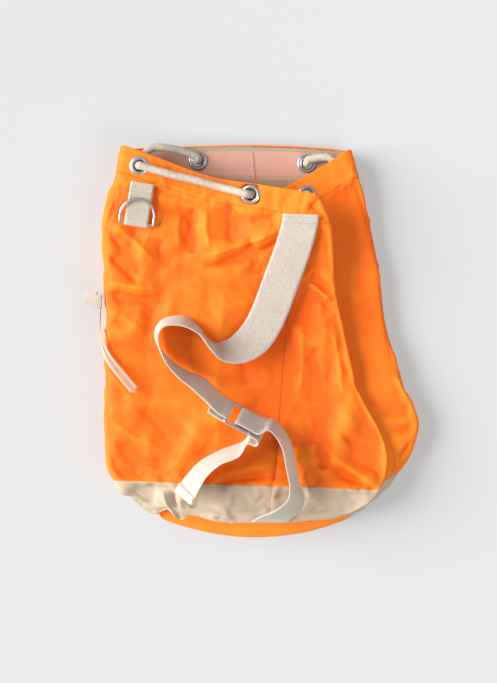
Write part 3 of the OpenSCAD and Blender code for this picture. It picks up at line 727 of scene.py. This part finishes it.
def settled():
    """How far the cloth moves when it settles by simulation, on a coarse grid.

    It is a little larger than the shape it is pinned to, so it buckles into folds.
    """
    s, u = places(4.6)
    rest = bag(s, u)
    rows, cols = rest.shape[:2]
    obj = add_object("cloth_sim", rest.reshape(-1, 3), grid_faces(rows, cols, True)[0])
    group = obj.vertex_groups.new(name="pin")
    ss, uu = np.broadcast_to(s[:, None], (rows, cols)), np.broadcast_to(u[None], (rows, cols))
    # held at the eyelets, hem, band seam and base; looser between them
    pin = np.max([
        np.full((rows, cols), 0.1), np.clip(1.3 - eyelet_distance(rest) / 24, 0, 1),
        0.6 * np.exp(-((ss / 0.3) ** 2)),
        0.35 * np.exp(-(((ss - 1.0) / 0.1) ** 2)), 0.5 * np.exp(-(((ss - 7.0) / 0.12) ** 2)),
        np.clip((ss - 8.6) / 0.4, 0, 1),
    ], 0)
    pin = np.where((uu > 7.2) & (uu < 10.2) | (uu < 4.6) | (uu > 17.2), 1.0, pin).ravel()
    for level in range(1, 21):
        index = np.nonzero(np.round(pin * 20).astype(int) == level)[0]
        if len(index):
            group.add(index.tolist(), level / 20, "REPLACE")
    cloth = obj.modifiers.new("cloth", "CLOTH")
    c = cloth.settings
    for key, value in dict(quality=6, mass=0.2, tension_stiffness=20, compression_stiffness=20,
        shear_stiffness=8,
                           bending_stiffness=0.8, air_damping=3, vertex_group_mass="pin", pin_stiffness=0.6,
                           shrink_min=-0.035).items():
        setattr(c, key, value)
    c.effector_weights.gravity = 0.3
    cloth.collision_settings.use_collision = False
    last = 24
    cloth.point_cache.frame_start, cloth.point_cache.frame_end = 1, last
    for f in range(1, last + 1):
        scene.frame_set(f)
    done = obj.evaluated_get(bpy.context.evaluated_depsgraph_get()).data
    co = np.zeros(rows * cols * 3)
    done.vertices.foreach_get("co", co)
    scene.frame_set(1)
    bpy.data.objects.remove(obj)
    moved = ((co.reshape(rows, cols, 3) / MM - rest) * facing_out(rest)).sum(-1)
    # to the fine grid: along the stations, then round the section
    fine = np.stack([np.interp(S, s, moved[:, i]) for i in range(cols)], 1)
    wrap_u = np.concatenate([u, [RING]])
    wrap = np.concatenate([fine, fine[:, :1]], 1)
    return np.stack([np.interp(U, wrap_u, row) for row in wrap])


def smooth(field, times):
    for _ in range(times):
        pad = np.concatenate([field[:1], field, field[-1:]])
        field = 0.5 * field + 0.125 * (pad[:-2] + pad[2:] + np.roll(field, 1, 1) + np.roll(field, -1, 1))
    return field


SIM = smooth(settled(), 2)
SIM = np.clip(SIM, -4.0, 3.0) * np.clip((eyelet_distance(REST) - 10) / 12, 0, 1)
CLEAR = np.clip((eyelet_distance(REST) - 12) / 14, 0, 1)
MOVE = RELIEF * CLEAR + SIM
# crisper bends: stiff canvas creases instead of rounding off
MOVE += np.clip(0.6 * (MOVE - smooth(MOVE, 30)), -1.4, 1.4) * CLEAR
MOVE += SEAM_CUT + ZIP_WELT
# the hem is stiffer and its stitching draws the cloth in
MOVE *= (0.35 + 0.65 * np.clip((S - 0.7) / 0.8, 0, 1))[:, None]
MOVE -= 0.7 * np.exp(-(((S - 1.0) / 0.018) ** 2))[:, None]
MOVE += 0.5 * np.exp(-(((S - 0.9) / 0.06) ** 2))[:, None]
_place = np.arange(len(U))
_pucker = np.sin(_place * 1.9 / 8.5 * 2 * math.pi + 2.4 * np.sin(_place / 17))
_pucker = _pucker * (0.6 + 0.4 * np.sin(_place / 29))
MOVE += 0.38 * _pucker[None] * np.exp(-(((S - 1.17) / 0.11) ** 2))[:, None]
MOVE += 0.3 * _pucker[None] * np.exp(-(((S - 6.88) / 0.08) ** 2))[:, None]
_free = np.interp(U, [0, 4.6, 5.4, 6.4, 7.2, 10.1, 11.1, 16.2, 17.2, 18],
    [0.3, 0.3, 1, 1, 0, 0, 1, 1, 0.3, 0.3])
MOVE = np.clip(MOVE, -8, 5) * _free
MOVE = np.where((S > 8.3)[:, None], np.maximum(MOVE, -0.4), MOVE)

# ---- paths of straps, cord and zip
WEB_W, WEB_T = 38, 1.6
BUCKLE_AT, BUCKLE_HEAD, BUCKLE_TILT = V([-8, -80, 69.0]), -28, 118
BX = V([math.cos(math.radians(BUCKLE_HEAD)), math.sin(math.radians(BUCKLE_HEAD)), 0])
BY = across(BUCKLE_HEAD + 90, BUCKLE_TILT)
BZ = np.cross(BX, BY)
WRAP = 1.5 + 0.5 + WEB_T / 2


def in_buckle(x, z):
    return (BUCKLE_AT + x * BX + z * BZ, BY)


SHOULDER = [place(p) for p in [
    (54.5, 133, 58.8, -2, 5), (54, 125, 57.6, -3, 5), (49, 105, 52.8, -10, 3), (42, 84, 49, -15, 0),
    (33, 60, 47.4, -19, 0), (25, 38, 47.6, -19, 0), (16, 18, 48.8, -20, 4), (4, 1, 53.6, -35, 16),
    (-12, -9, 60, -62, 38), (-30, -11, 64.6, -68, 58), (-42, -2, 65.8, -64, 66), (-52, 12, 65.6, -68, 70),
    (-64, 20, 65.4, -84, 72), (-78, 22, 65.2, -100, 74), (-90, 18.5, 65, -65, 78), (-96, 8, 65, -18, 82),
    (-93, -6, 65.3, 18, 88), (-84, -20, 65.4, 38, 97), (-70, -33, 65.6, 46, 106), (-54, -43, 66, 55, 114),
    (-42, -53, 67, 61, 117),
]] + [
    in_buckle(-24, -WRAP), in_buckle(-15, -WRAP), in_buckle(-15 + WRAP, 0), in_buckle(-15, WRAP),
    in_buckle(-20, 2.2), in_buckle(-34, 1),
]
ANCHOR = [place(p) for p in [
    (-68, -164, 56.5, 146, 127), (-60, -150, 59.5, 132, 122), (-48, -134, 61.6, 112, 117),
    (-30, -121, 63.6, 92, 112), (-8, -112, 65.4, 78, 112),
]] + [
    in_buckle(18, 13), in_buckle(26, 11), in_buckle(28, 7.5), in_buckle(25, 4), in_buckle(15, WRAP),
    in_buckle(0, WRAP), in_buckle(-WRAP, 0), in_buckle(0, -WRAP), in_buckle(15, -WRAP), in_buckle(24, -3.5),
] + [place(p) for p in [
    (24, -87, 66.4, 55, 110), (33, -96, 65.4, 40, 107), (39.5, -108, 64.4, 25, 107),
        (43, -122, 63.4, 14, 107),
    (46, -138, 62, 8, 107), (48.5, -152, 60.8, 8, 108), (49, -165, 57.6, 6, 120), (41, -177, 50.4, 2, 142),
    (30, -184, 41.6, 0, 168), (22, -190, 36, 0, 180),
]]
ZIP_LOW, RISE = (-157, 46, 8), math.radians(34)
ZIP = [place(p) for p in [
    (*ZIP_LOW, 90, 56), (-157, 46 - 38 * math.cos(RISE), 8 + 38 * math.sin(RISE), 90, 56),
    (-155, 2, 38, 80, 44), (-149, -14, 46, 60, 22), (-140, -27, 48.6, 45, 5), (-130, -39, 49.4, 38, 0),
    (-120, -51, 49.6, 38, 0),
]]
LABEL = [place(p) for p in [(-155, 41, 30, 90, 48), (-160, 42.5, 29.6, 84, 48), (-166, 45, 28.5, 78, 48),
    (-172, 47.5, 27, 74, 46)]]


def eyelet_at(i, h):
    return EYE_AT[i] + h * EYE_OUT[i]


def bend(i, side, heading):
    d = V([math.cos(math.radians(heading)), math.sin(math.radians(heading)), 0])
    m = 0.3 if side > 0 else -1.7
    return [eyelet_at(i, side * 2 + m), eyelet_at(i, side * 4.7 + m) + 1.3 * d,
        eyelet_at(i, side * 5.7 + m) + 5 * d]


JOIN = V([4, 193, 4.9])
JOIN_DIR = V([*(EYE_AT[5] - EYE_AT[4])[:2], 0.0])
JOIN_DIR /= np.linalg.norm(JOIN_DIR)
CORD_PATH = V([
    JOIN + 0.2 * JOIN_DIR, JOIN + 14 * JOIN_DIR, *bend(5, 1, 0)[::-1], *bend(5, -1, 120),
    [-72, 202, 22], [-88, 205, 27], [-103, 204, 29], *bend(0, -1, 100)[::-1], *bend(0, 1, -14),
    [-80, 175, 47.4], [-55, 169, 47.4], [-30, 162, 48.4], *bend(1, 1, 166)[::-1], *bend(1, -1, -22),
    *bend(2, -1, 158)[::-1], *bend(2, 1, 65), *bend(3, 1, -115)[::-1], *bend(3, -1, 30),
    [82, 172, 19], [93, 186, 19], [84, 195, 19], *bend(4, -1, 50)[::-1], *bend(4, 1, 180),
    JOIN - 14 * JOIN_DIR, JOIN - 0.2 * JOIN_DIR,
])
CORD_LINE = resample(along(CORD_PATH, np.linspace(0, len(CORD_PATH) - 1, len(CORD_PATH) * 12)),
    0.7)

RING_AT, TAB_TURN, TAB_PITCH = V([-118, 124, 46.9]), math.radians(-9), math.radians(-1)


def swung(u, v, angle):
    """Two coordinates turned by an angle about the axis square to both."""
    return u * math.cos(angle) - v * math.sin(angle), u * math.sin(angle) + v * math.cos(angle)


def at_tab(points, turn=0.0):
    """From the D-ring tab's own frame to the bag's; turn swings about the ring's bar."""
    p = np.asarray(points, float)
    y, z = swung(p[..., 1], p[..., 2], TAB_PITCH + turn)
    x, y = swung(p[..., 0], y, TAB_TURN)
    return np.stack([x, y, z], -1) + RING_AT


# ---- keep the cloth under what lies on it
def underside():
    """Samples of the lower side of everything that rests on the front."""
    out = []
    for stations, lo, hi in ((SHOULDER, -19, 19), (ANCHOR, -19, 19), (ZIP, -4.5, 4.5)):
        c, a = webbing_path(stations, 14)
        out += [c + w * a - [0, 0, 1.3] for w in np.linspace(lo, hi, 20)]
    front = CORD_LINE[(CORD_LINE[:, 2] > 45.5) & (CORD_LINE[:, 1] > 150) & (CORD_LINE[:, 0] < 8)]
    out += [front + [w * 0.2, w, -math.sqrt(19 - w * w)] for w in (-4, -2, 0, 2, 4)]
    x, y = np.meshgrid(np.linspace(-13, 13, 14), np.linspace(-4, 43, 24))
    out.append(at_tab(np.stack([x, y, np.full(x.shape, -3.9)], -1)).reshape(-1, 3))
    return np.concatenate(out)


CELL = 2.0
_low = underside()
_map = np.full((220, 240), 1e9)
_ij = ((_low[:, :2] + [220, 240]) / CELL).astype(int)
np.minimum.at(_map, (_ij[:, 0], _ij[:, 1]), _low[:, 2])
_wide = _map.copy()
for di in (-2, -1, 0, 1, 2):
    for dj in (-2, -1, 0, 1, 2):
        _wide = np.minimum(_wide, np.roll(np.roll(_map, di, 0), dj, 1))


def keep_under(points, normal, allowed):
    """Lowers upward-facing cloth that would touch something lying on it."""
    ij = ((points[..., :2] + [220, 240]) / CELL).astype(int)
    limit = _wide[ij[..., 0], ij[..., 1]]
    over = np.clip(points[..., 2] - limit, 0, 9) * (allowed & (normal[..., 2] > 0.3)
        & (points[..., 2] - limit < 9))
    return over / np.maximum(normal[..., 2], 0.3)


OVER = keep_under(REST + MOVE[..., None] * NORMAL, NORMAL, TOP)
OVER = np.maximum(OVER, smooth(smooth(OVER, 10) * 1.5, 10))
MOVE = MOVE - OVER
# the band's lower edge at the front sags unevenly and has one small dart
X = REST[..., 0]
EDGE_X, EDGE_DY = [-112, -98, -85, -71, -62, -40, -20, 0, 20, 60, 100], [0, 0, 9, -3, 3, 1.5, 0, 1, 0, 0, 0]
_edge = np.interp(X, EDGE_X, EDGE_DY)
_edge = _edge * np.clip((S - 8.0) / 1.0, 0, 1)[:, None] ** 1.5 * ((U > FRONT_U[0]) & (U < FRONT_U[1]))[None]
# the back hem bows up between its eyelets
_edge = _edge + 4.5 * np.sin(np.pi * np.clip(U / 4.4, 0, 1))[None] * np.clip(1 - S / 0.42, 0, 1)[:, None]


def cloth_points(depth):
    """The settled cloth at a depth in from its outer face."""
    p = bag(S, U, depth) + MOVE[..., None] * NORMAL
    p[..., 1] += _edge
    p[..., 2] = np.maximum(p[..., 2], depth + 0.05)
    return p


OUTER = cloth_points(0.0)
OUT_N = facing_out(OUTER)
INNER = cloth_points(INNER_FACE)


def no_eyelets(radius):
    return lambda centre: eyelet_distance(centre) > radius


top_rows = S <= BAND_S + 0.001
low_rows = S >= BAND_S - 0.001
hem_turn = [OUTER[:1] + (INNER[:1] - OUTER[:1]) * k + V([0, 0.55 * math.sin(math.pi * k), 0])
    for k in (1.0, 0.75, 0.5, 0.25)]
hem_in = [INNER[S < 0.075][1:][::-1]]


def paint_fold_light(obj, grid_value):
    """Painted light along the folds, kept on the mesh: above 0.5 a painted highlight on ridges, below it
    painted shade in valleys.
    """
    layer = obj.data.attributes.new("painted_fold_light", "FLOAT", "POINT")
    values = np.full(len(obj.data.vertices), 0.5)
    values[-grid_value.size:] = grid_value.ravel()
    layer.data.foreach_set("value", values)


shell = cloth_sheet("body_cloth", np.concatenate([*hem_in, *hem_turn, OUTER[top_rows]]), True,
    no_eyelets(8.2))
dress(shell, ORANGE, replaces=["body_panel"])
# painted light: ridges and broad bulges of the settled cloth get a painted highlight, fold valleys painted
# shade
_broad = smooth(MOVE, 60)
PAINTED_FOLD_LIGHT = np.clip(0.5 + 0.16 * smooth(MOVE - _broad, 2) + 0.05 * _broad, 0, 1)
paint_fold_light(shell, PAINTED_FOLD_LIGHT[top_rows])
band = OUTER[low_rows] + 0.35 * OUT_N[low_rows] * np.clip(1 - (S[low_rows] - 7) / 0.4, 0, 1)[:, None, None]
tucked = band[:1] - 0.9 * OUT_N[low_rows][:1]
dress(cloth_sheet("band_cloth", np.concatenate([tucked, band]), True), BAND,
    replaces=["bottom_band"])
tape_rows = (S > 0.03) & (S < 0.24)
dress(cloth_sheet("hem_edge_tape", INNER[tape_rows], True), EDGE)
face_rows = (S > 0.2) & (S < 1.12)
dress(cloth_sheet("hem_facing_cloth", cloth_points(INNER_FACE + 0.25)[face_rows], True, no_eyelets(8.4)),
    FACING, replaces=["hem_facing"])
line_rows = (S > 1.08) & (S < 8.2)
inner_fold = lambda c: ~((c[:, 0] > 70) & (c[:, 1] < 90) & (c[:, 2] > 22))
dress(cloth_sheet("lining_cloth", cloth_points(INNER_FACE + 0.5)[line_rows], True, inner_fold), LINING,
    replaces=["lining"])

# base: folded into the bag, with the crescent of its back half showing below the front edge
T = np.linspace(0, 1, 90)
W = np.linspace(0, 1, 26)
LOW_U, HIGH_U = 17 + 6 * T, 17 - 12 * T
_low_edge = bag([BASE_S], LOW_U, 0.9)[0]
_high_edge = bag([BASE_S], HIGH_U, 1.9)[0]
_front = (HIGH_U > FRONT_U[0]) & (HIGH_U < FRONT_U[1])
_high_edge[:, 1] += np.interp(_high_edge[:, 0], EDGE_X, EDGE_DY) * _front - 0.3
_hump = np.sin(np.pi * T)[None, :, None] * (4 * W * (1 - W))[:, None, None]
base = mix(_low_edge[None], _high_edge[None], W[:, None, None]) + V([0, 46, 0]) * _hump
gen = np.random.default_rng(4)
for _ in range(9):
    k, ph, a = gen.uniform(4, 22), gen.uniform(0, 6.28), gen.uniform(0.3, 1.1)
    base[..., 2] += a * np.sin(k * T + ph + gen.uniform(-3, 3) * W[:, None]) * _hump[..., 0]
    base[..., 1] += 0.6 * a * np.sin(1.3 * k * T + ph) * _hump[..., 0]
base[..., 2] = np.maximum(base[..., 2], 1.0)


def band_edge(u):
    """Points of the band's lower edge, where the base is sewn on."""
    places_u, points = np.concatenate([U, [RING]]), come_round(OUTER[-1])
    return np.stack([np.interp(np.mod(u, RING), places_u, points[:, k]) for k in range(3)], -1)[None]


base = np.concatenate([band_edge(LOW_U), base, band_edge(HIGH_U)])
dress(cloth_sheet("base_cloth", base), LIT_BASE_CANVAS, replaces=["base_disc", "base_lining"])


def surface_line(points, lift=0.0):
    """A line on the settled front above points in plan, with the cloth's normals."""
    flat, n = OUTER[TOP], OUT_N[TOP]
    line, normal = [], []
    for p in resample(V(points, float), 2.0):
        d = np.linalg.norm(flat[:, :2] - p, axis=1)
        near = np.argsort(d)[:6]
        w = 1 / (d[near] + 0.3)
        line.append([*p, (flat[near, 2] * w).sum() / w.sum()])
        normal.append((n[near] * w[:, None]).sum(0))
    normal = unit(V(normal))
    return V(line) + lift * normal, normal


for name, station, lift, material, slot in (
    ("hem_stitches", 1.0, 0.1, THREAD, "orange_cloth"),
    ("band_stitches", 7.1, 0.45, THREAD_PALE, "band_cloth"),
):
    i = int(np.argmin(abs(S - station)))
    dress(stitches(name, come_round(OUTER[i]), come_round(OUT_N[i]), 3.4, 2.6, 0.26, lift), material)
seam_line, seam_n = surface_line([(54, 138), (52, 133), (46, 80), (41.5, 29), (35, -40), (32, -82),
    (29, -128), (26, -149), (22, -168), (24, -180)])
dress(stitches("panel_seam", seam_line, seam_n, 2.6, 2.5, 0.32, 0.1), THREAD)
edge_in = cloth_points(INNER_FACE)
i_edge = int(np.argmin(abs(S - 0.17)))
dress(stitches("edge_stitches", edge_in[i_edge], -OUT_N[i_edge], 3.4, 2.5, 0.24, 0.15), THREAD_PALE)


def patch(s, u, depth):
    """A patch of the settled cloth, with a row of places for each station."""
    out = []
    for i, station in enumerate(s):
        row = np.atleast_1d(u[i] if np.ndim(u) == 2 else u)
        at = np.array([np.interp(station, S, MOVE[:, j]) for j in range(0, len(U), 4)])
        p, q = bag([station], row)[0], bag([station], row, 1.0)[0]
        out.append(p + (depth - np.interp(row, U[::4], at))[:, None] * unit(q - p))
    return V(out)


seam_u = [11.45, 11.5, 11.6, 11.8, 12, 12.1, 12.3, 12.5, 12.6, 12.6]
stations = np.arange(1.15, 8.3, 0.05)
strip = patch(stations, V([[along(seam_u, s)[0] + k * 0.07 for k in (-1, 0, 1)] for s in stations]),
    INNER_FACE + 1.8)
dress(cloth_sheet("seam_binding", strip), EDGE, replaces=["seam_tape"])
pocket_s, pocket_u = np.linspace(3, 6, 60), np.linspace(14, 17, 60)
pocket = patch(pocket_s, pocket_u, INNER_FACE + LINING_T + 1.8)
back_seam_s, back_seam_u = np.linspace(0.2, 1.12, 30), 2.2 + np.linspace(-0.03, 0.03, 5)
seam_ridge = patch(back_seam_s, back_seam_u, INNER_FACE + 0.6)
seam_ridge[:, 2, 2] += 0.5
dress(cloth_sheet("facing_seam", seam_ridge), FACING)
dress(cloth_sheet("pocket_bag", pocket), LINING, replaces=["zip_pocket"])

# ---- webbing
fine = 1.6
strap, c, a, up, d = ribbon("shoulder_webbing", SHOULDER, -WEB_W / 2, WEB_W / 2, WEB_T - 0.1, fine,
    wave=0.22, seed=3)
dress(strap, WEB, replaces=["shoulder_strap"])


def across_rows(name, c, a, up, d, rows, half, lift, material):
    """Rows of stitches across webbing at distances along it."""
    parts = []
    for at in rows:
        i = int(np.argmin(abs(d - at)))
        u = up[i] * (np.sign(up[i][2]) or 1)
        w = np.linspace(-half, half, 20)
        parts.append(stitches(name, c[i] + w[:, None] * a[i] + lift * u, np.repeat(u[None], 20, 0), 3.0,
            2.2, 0.26, 0.05))
    obj = join(name, parts) if len(parts) > 1 else parts[0]
    return dress(obj, material)


across_rows("shoulder_bartack", c, a, up, d, (2.5, 9.0), 17, WEB_T / 2, THREAD_PALE)
anchor, c, a, up, d = ribbon("anchor_webbing", ANCHOR, -WEB_W / 2, WEB_W / 2, WEB_T - 0.1, fine, wave=0.22,
    seed=8)
dress(anchor, WEB, replaces=["anchor_strap"])
first = d < 11
u0 = up * np.sign(up[:, 2:3])
hem_piece, *_ = ribbon("anchor_end_hem", list(zip((c + 1.35 * u0)[first], a[first])), -WEB_W / 2 + 0.4,
    WEB_W / 2 - 0.4, 1.2, 1.2)
dress(hem_piece, WEB)
across_rows("anchor_end_stitches", c, a, up, d, (8.0,), 17.5, 2.0, THREAD_PALE)

# the D-ring's tab: webbing folded round the bar and sewn down on itself
q = [(0, 43, -2.6), (0, 30, -2.6), (0, 12, -2.7), (0, 2, -2.75)]
q += [(0, -2.75 * math.sin(t), -2.75 * math.cos(t)) for t in np.linspace(0.3, 2.9, 7)]
q += [(0, 2, 2.6), (0, 8, 1.6), (0, 15, -0.5), (0, 20, -0.95), (0, 30, -0.95), (0, 43, -0.95)]
q = at_tab(V(q))
side_dir = at_tab(V([1.0, 0, 0])) - RING_AT
tab_obj, c, a, up, d = ribbon("dring_webbing", [(p, side_dir) for p in q], -12.4, 12.4, 1.5, 1.0, wave=0.12,
    seed=5)
dress(tab_obj, TAB, replaces=["dring_tab"])


def tab_row(x, y):
    """A row of stitches on the tab through places in its own frame."""
    line = at_tab(np.stack([x, y, np.full(len(x), -0.15)], -1))
    return stitches("tab_stitches", line, np.repeat([[0, 0, 1.0]], len(x), 0), 2.4, 1.8, 0.26, 0.05)


rows = [tab_row(np.linspace(-11, 11, 16), np.full(16, y)) for y in (37.5, 33.0, 24.5)]
rows += [tab_row(np.full(12, x), np.linspace(24.5, 37.5, 12)) for x in (-10.6, 10.6)]
dress(join("tab_stitches", rows), THREAD_PALE)

# ---- drawcord
def braid(angle, length):
    """Diamond braid: two crossing families of strands, over and under in turn."""
    k = 0.19
    f1, f2 = angle + k * length, angle - k * length
    over = np.sin(4 * f1) * np.sin(4 * f2) > 0
    return -0.12 + 0.42 * (np.where(over, np.abs(np.cos(4 * f1)), np.abs(np.cos(4 * f2))) - 0.6)


cord = tube_mesh("drawcord_braid", CORD_LINE, 4.2, 36, braid)
dress(cord, CORD, replaces=["drawcord"])
sleeve_line = V([JOIN + k * JOIN_DIR for k in (-12, -6, 0, 6, 12)])
wrap = tube_mesh("cord_binding", resample(sleeve_line, 0.25), 4.5, 28,
    lambda a, l: 0.18 * np.sin(2 * math.pi * l / 1.1 + a))
dress(wrap, THREAD_PALE, replaces=["cord_sleeve"])

# ---- metal
def lathe(at, out, profile, sides=64):
    """A turned piece about an axis, from (radius, height) pairs in a closed outline."""
    x = unit(np.cross(out, [0.3, 0.9, 0.1]))
    y = np.cross(out, x)
    a = np.arange(sides) * 2 * math.pi / sides
    p = V(profile, float)
    spokes = np.cos(a)[None, :, None] * x + np.sin(a)[None, :, None] * y
    ring = at + p[:, None, :1] * spokes + p[:, None, 1:2] * out
    faces, _ = grid_faces(len(ring) + 1, sides, True)
    return ring.reshape(-1, 3), faces % (len(ring) * sides)


eyelet_profile = [(5.9, -3.0), (5.8, -1.0), (5.85, 0.6), (6.2, 1.7), (7.0, 2.5), (8.1, 2.75), (9.2, 2.4),
    (10.0, 1.75), (10.35, 1.2), (10.2, 0.95), (9.2, 1.15), (7.4, 1.2), (6.7, 0.6), (6.6, -1.2), (6.5, -3.0)]
washer_profile = [(6.65, 0.0), (7.4, -0.55), (9.0, -0.6), (9.8, -0.2), (9.85, 0.25), (9.4, 0.3), (6.7, 0.3)]
verts, faces, total = [], [], 0
for i in range(6):
    for profile, shift in ((eyelet_profile, -CLOTH_T), (washer_profile, -CLOTH_T - 1.4)):
        v, f = lathe(EYE_AT[i] + shift * EYE_OUT[i], EYE_OUT[i], profile)
        verts.append(v)
        faces.append(f + total)
        total += len(v)
names = ["front_left", "front_right", "pleat_upper", "pleat_lower", "back_right", "back_left"]
rings = add_object("eyelet_rings", np.concatenate(verts), np.concatenate(faces))
dress(rings, STEEL, replaces=["eyelet_" + n for n in names] + ["washer_" + n for n in names])


def rounded(points, radius, per=6):
    """A closed line with its corners rounded."""
    p, out = V(points, float), []
    for i in range(len(p)):
        a, b, c = p[i - 1], p[i], p[(i + 1) % len(p)]
        u, v = unit(a - b), unit(c - b)
        s, e = b + u * radius, b + v * radius
        for t in np.linspace(0, 1, per):
            out.append((1 - t) ** 2 * s + 2 * t * (1 - t) * b + t * t * e)
    return V(out)


def hoop(name, line, radius, sides=16):
    """A closed wire loop."""
    closed = resample(come_round(line), 0.6)[:-1]
    t = unit(np.roll(closed, -1, 0) - np.roll(closed, 1, 0))
    centre_n = unit(np.cross(closed[1] - closed[0], closed[len(closed) // 3] - closed[0]))
    e = np.repeat(centre_n[None], len(closed), 0)
    p = circles(closed, e, np.cross(t, e), radius, sides)
    faces, _ = grid_faces(len(closed) + 1, sides, True)
    return add_object(name, p.reshape(-1, 3), (faces % (len(closed) * sides))[:, ::-1])


arc = [(18 * math.cos(t), 8 + 18 * math.sin(t), 0) for t in np.linspace(0, math.pi, 40)]
corner = [(18 - 1.8 + 1.8 * math.cos(t), 1.8 - 1.8 * math.sin(t), 0) for t in np.linspace(1.5708, 0, 7)]
other = [(-x, y, z) for x, y, z in corner[::-1]]
ring_obj = hoop("d_ring_wire", at_tab(V(corner + arc + other), math.radians(6)), 1.5)
dress(ring_obj, STEEL, "ring", ["d_ring"])


def on_buckle(points):
    p = V(points, float)
    return BUCKLE_AT + p[:, :1] * BX + p[:, 1:2] * BY + p[:, 2:3] * BZ


frame_loop = rounded([(-15, -21.5, 0), (15, -21.5, 0), (15, 21.5, 0), (-15, 21.5, 0)], 3.0)
wires = [hoop("strap_slider", on_buckle(frame_loop), 1.6)]
wires.append(tube_mesh("buckle_bar", resample(on_buckle([(0, -21.3, 0), (0, 21.3, 0)]), 1.0), 1.45, 16))
dress(join("strap_slider", wires), STEEL, replaces=["strap_buckle"])

# ---- zip and label
for name, lo, hi in (("front", 1.5, 4.6), ("rear", -4.6, -1.5)):
    tape, c, a, up, d = ribbon("zip_tape_cloth_" + name, ZIP, lo, hi, 0.6, 1.2, 0.0, 0.05, 2)
    dress(tape, TAPE, replaces=["zip_tape_" + name])
c, a = webbing_path(ZIP, 30)
both = resample(np.concatenate([c, a], 1), 0.1)
c, a = both[:, :3], unit(both[:, 3:])
t = unit(np.gradient(c, axis=0))
up = unit(np.cross(t, a))
TOOTH = [(-0.35, 0.5), (-0.5, 0.0), (-0.35, -0.5), (0.35, -0.5), (0.5, 0.0), (0.35, 0.5)]
for side, name in ((1, "front"), (-1, "rear")):
    verts, faces = [], []
    for i in range(0 if side > 0 else 8, len(c) - 6, 16):
        start = len(verts)
        faces += [*grid_faces(4, 6, True, start)[0].tolist(), [start + m for m in range(5, -1, -1)]]
        faces.append([start + 18 + m for m in range(6)])
        for w, size in ((-0.12, 0.6), (0.05, 1.0), (1.15, 1.0), (1.4, 0.8)):
            verts += [c[i] + w * side * a[i] + size * (x * t[i] + z * up[i]) for x, z in TOOTH]
    tooth_row = add_object("zip_coil_" + name, V(verts), faces, None, False)
    dress(tooth_row, TEETH, replaces=["zip_teeth_" + name])
label, c, a, up, d = ribbon("side_label_satin", LABEL, -9.5, 9.5, 0.7, 1.0, 0.1, 0.15, 11)
dress(label, SATIN, replaces=["side_label"])


def softened(node, name, body, width):
    """A small metal piece of the CAD model made again with its edges rounded off."""
    mesh = bmesh.new()
    mesh.from_mesh(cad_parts[node].data)
    bmesh.ops.remove_doubles(mesh, verts=mesh.verts, dist=0.02 * MM)
    bmesh.ops.dissolve_limit(mesh, angle_limit=math.radians(1), verts=mesh.verts, edges=mesh.edges)
    edges = [e for e in mesh.edges if len(e.link_faces) == 2 and e.calc_face_angle(0) > 0.5]
    bmesh.ops.bevel(mesh, geom=edges, offset=width * MM, segments=3, profile=0.5, affect="EDGES")
    data = bpy.data.meshes.new(name)
    mesh.to_mesh(data)
    mesh.free()
    piece = bpy.data.objects.new(name, data)
    scene.collection.objects.link(piece)
    dress(piece, ZIP_STEEL, body, [node])


softened("zip_slider", "zip_slider_body", "slider", 0.3)
softened("zip_pull", "zip_pull_tab", "pull", 0.22)
softened("zip_end_stop", "zip_end_staple", "bag", 0.45)
softened("zip_top_stop", "zip_top_staple", "bag", 0.45)
